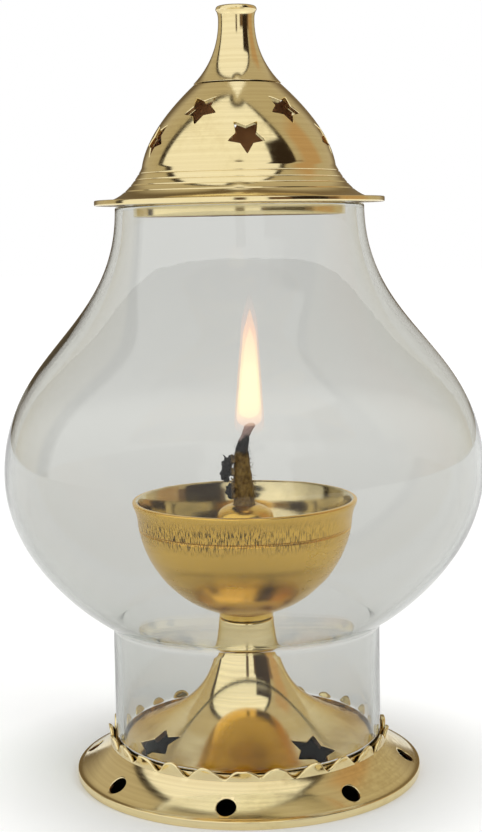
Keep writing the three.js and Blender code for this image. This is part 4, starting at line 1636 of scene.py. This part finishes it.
def make_stage(sizes, colours):
    """Camera, floor, backdrop, studio walls and lamps."""
    scene = bpy.context.scene
    scene.view_settings.view_transform = "Standard"
    studio_world()
    make_floor(tuple(colours.floor))
    # Pieces inside the glass see the window whole and brighter, for what the glass takes, and no back wall
    outside, inside = studio_paint("outer_paint", 83, 40, 1.0), studio_paint("inner_paint", 95, 27, 1.25)
    studio_wall("studio_front", outside, -140, 140, 89.5).visible_transmission = False
    studio_wall("studio_back", outside, 140, 220, 75).visible_transmission = False
    studio_wall("studio_inside", inside, -140, 140, 89.5).visible_glossy = False
    aim = (0, 0, 0.09)
    softbox("key_lamp", (0.7, -0.65, 0.75), aim, 0.5, 0.7, 4)
    softbox("fill_lamp", (-0.85, -0.5, 0.5), aim, 0.5, 0.8, 1.5)
    softbox("top_lamp", (0, 0.15, 1.15), aim, 1.0, 1.0, 3)
    softbox("back_lamp", (0.1, 0.9, 0.6), aim, 0.9, 0.6, 1.5)

    camera = bpy.data.objects.new("camera", bpy.data.cameras.new("camera"))
    camera.data.lens = sizes.lens
    camera.data.clip_start = 0.01
    place = Matrix.Translation((-sizes.aside, -sizes.distance, sizes.height))
    tilt = Matrix.Rotation(math.pi / 2 - sizes.pitch, 4, "X")
    camera.matrix_world = place @ tilt @ Matrix.Rotation(sizes.roll, 4, "Z")
    scene.collection.objects.link(camera)
    scene.camera = camera


# Operators


def finish_named(name):
    """A finish made before, by its name."""
    material = bpy.data.materials.get(name)
    if material is None:
        raise RuntimeError(f"the finish {name} is missing: run Finishes first")
    return material


class LAMP_OT_finishes(bpy.types.Operator):
    """Makes every finish and the trees that shape the pieces"""

    bl_idname = "lamp.finishes"
    bl_label = "Finishes"

    def execute(self, context):
        lamp = context.scene.oil_lamp
        make_finishes(lamp.finishes, lamp.bowl, lamp.skirt)
        cotton_material(lamp.finishes, lamp.wick.char_height, WICK_TIP)
        pierced_wall_tree(cutter_row_tree())
        scallop_tree()
        fibre_tree()
        return {"FINISHED"}


class LAMP_OT_skirt(bpy.types.Operator):
    """Makes the vented skirt and its gallery"""

    bl_idname = "lamp.skirt"
    bl_label = "Skirt"

    def execute(self, context):
        make_skirt(context.scene.oil_lamp.skirt, finish_named("skirt_brass"))
        return {"FINISHED"}


class LAMP_OT_pedestal(bpy.types.Operator):
    """Makes the pierced pedestal"""

    bl_idname = "lamp.pedestal"
    bl_label = "Pedestal"

    def execute(self, context):
        make_pedestal(context.scene.oil_lamp.pedestal, finish_named("pedestal_brass"))
        return {"FINISHED"}


class LAMP_OT_bowl(bpy.types.Operator):
    """Makes the oil bowl and its oil, and finishes its washer and nut"""

    bl_idname = "lamp.bowl"
    bl_label = "Oil Bowl"

    def execute(self, context):
        make_bowl(context.scene.oil_lamp.bowl, finish_named("bowl_brass"), finish_named("lamp_oil"))
        for name in ("bowl_washer", "bowl_nut"):
            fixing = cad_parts[name]
            fixing.data.materials.clear()
            fixing.data.materials.append(finish_named("dull_brass"))
        return {"FINISHED"}


class LAMP_OT_holder(bpy.types.Operator):
    """Makes the wick holder"""

    bl_idname = "lamp.holder"
    bl_label = "Wick Holder"

    def execute(self, context):
        lamp = context.scene.oil_lamp
        make_holder(lamp.holder, lamp.wick, finish_named("holder_brass"))
        return {"FINISHED"}


class LAMP_OT_wick(bpy.types.Operator):
    """Makes the burnt cotton wick"""

    bl_idname = "lamp.wick"
    bl_label = "Wick"

    def execute(self, context):
        make_wick(context.scene.oil_lamp.wick, finish_named("burnt_cotton"))
        return {"FINISHED"}


class LAMP_OT_flame(bpy.types.Operator):
    """Makes the flame"""

    bl_idname = "lamp.flame"
    bl_label = "Flame"

    def execute(self, context):
        lamp = context.scene.oil_lamp
        foot = lamp.wick.flame_foot
        tip = foot + lamp.wick.flame_height
        core, edge = tuple(lamp.finishes.flame_core), tuple(lamp.finishes.flame_edge)
        pink = (1.0, 0.66, 0.56)
        hot = (1.0, 0.98, 0.66)
        ends = (foot, tip)
        shells = [
            (1.0, flame_material("outer_flame", (pink, edge, pink), *ends, 1.15, 0.25)),
            (0.84, flame_material("middle_flame", (pink, core, edge), *ends, 1.3, 0.6)),
            (0.66, flame_material("inner_flame", (edge, hot, edge), *ends, 1.5, 0.92)),
        ]
        make_flame(lamp.wick, shells)
        return {"FINISHED"}


class LAMP_OT_glass(bpy.types.Operator):
    """Makes the glass chimney"""

    bl_idname = "lamp.glass"
    bl_label = "Glass Chimney"

    def execute(self, context):
        make_glass(context.scene.oil_lamp.glass, finish_named("blown_glass"))
        return {"FINISHED"}


class LAMP_OT_lid(bpy.types.Operator):
    """Makes the lid, its collar and its finial"""

    bl_idname = "lamp.lid"
    bl_label = "Lid"

    def execute(self, context):
        make_lid(context.scene.oil_lamp.lid, finish_named("lid_brass"), finish_named("finial_brass"))
        return {"FINISHED"}


class LAMP_OT_stage(bpy.types.Operator):
    """Makes the floor, the lamps and the camera"""

    bl_idname = "lamp.stage"
    bl_label = "Stage"

    def execute(self, context):
        lamp = context.scene.oil_lamp
        make_stage(lamp.stage, lamp.finishes)
        return {"FINISHED"}


OPERATORS = (
    LAMP_OT_finishes,
    LAMP_OT_skirt,
    LAMP_OT_pedestal,
    LAMP_OT_bowl,
    LAMP_OT_holder,
    LAMP_OT_wick,
    LAMP_OT_flame,
    LAMP_OT_glass,
    LAMP_OT_lid,
    LAMP_OT_stage,
)


class LAMP_PT_panel(bpy.types.Panel):
    """Lists the lamp's pieces and sizes"""

    bl_idname = "LAMP_PT_panel"
    bl_label = "Oil Lamp"
    bl_space_type = "VIEW_3D"
    bl_region_type = "UI"
    bl_category = "Oil Lamp"

    def draw(self, context):
        for operator in OPERATORS:
            self.layout.operator(operator.bl_idname)
        lamp = context.scene.oil_lamp
        for key in GROUPS:
            box = self.layout.box()
            box.label(text=key.title())
            group = getattr(lamp, key)
            for field in group.__annotations__:
                box.prop(group, field)


CLASSES = (*GROUPS.values(), LampSettings, *OPERATORS, LAMP_PT_panel)


def register():
    """Registers the settings, the operators and the panel."""
    for item in CLASSES:
        bpy.utils.register_class(item)
    bpy.types.Scene.oil_lamp = PointerProperty(type=LampSettings)


def unregister():
    """Takes the settings, the operators and the panel away again."""
    del bpy.types.Scene.oil_lamp
    for item in reversed(CLASSES):
        bpy.utils.unregister_class(item)


def main():
    """Builds the lamp and its stage."""
    register()
    for operator in OPERATORS:
        group, name = operator.bl_idname.split(".")
        getattr(getattr(bpy.ops, group), name)()


if __name__ == "__main__":
    main()
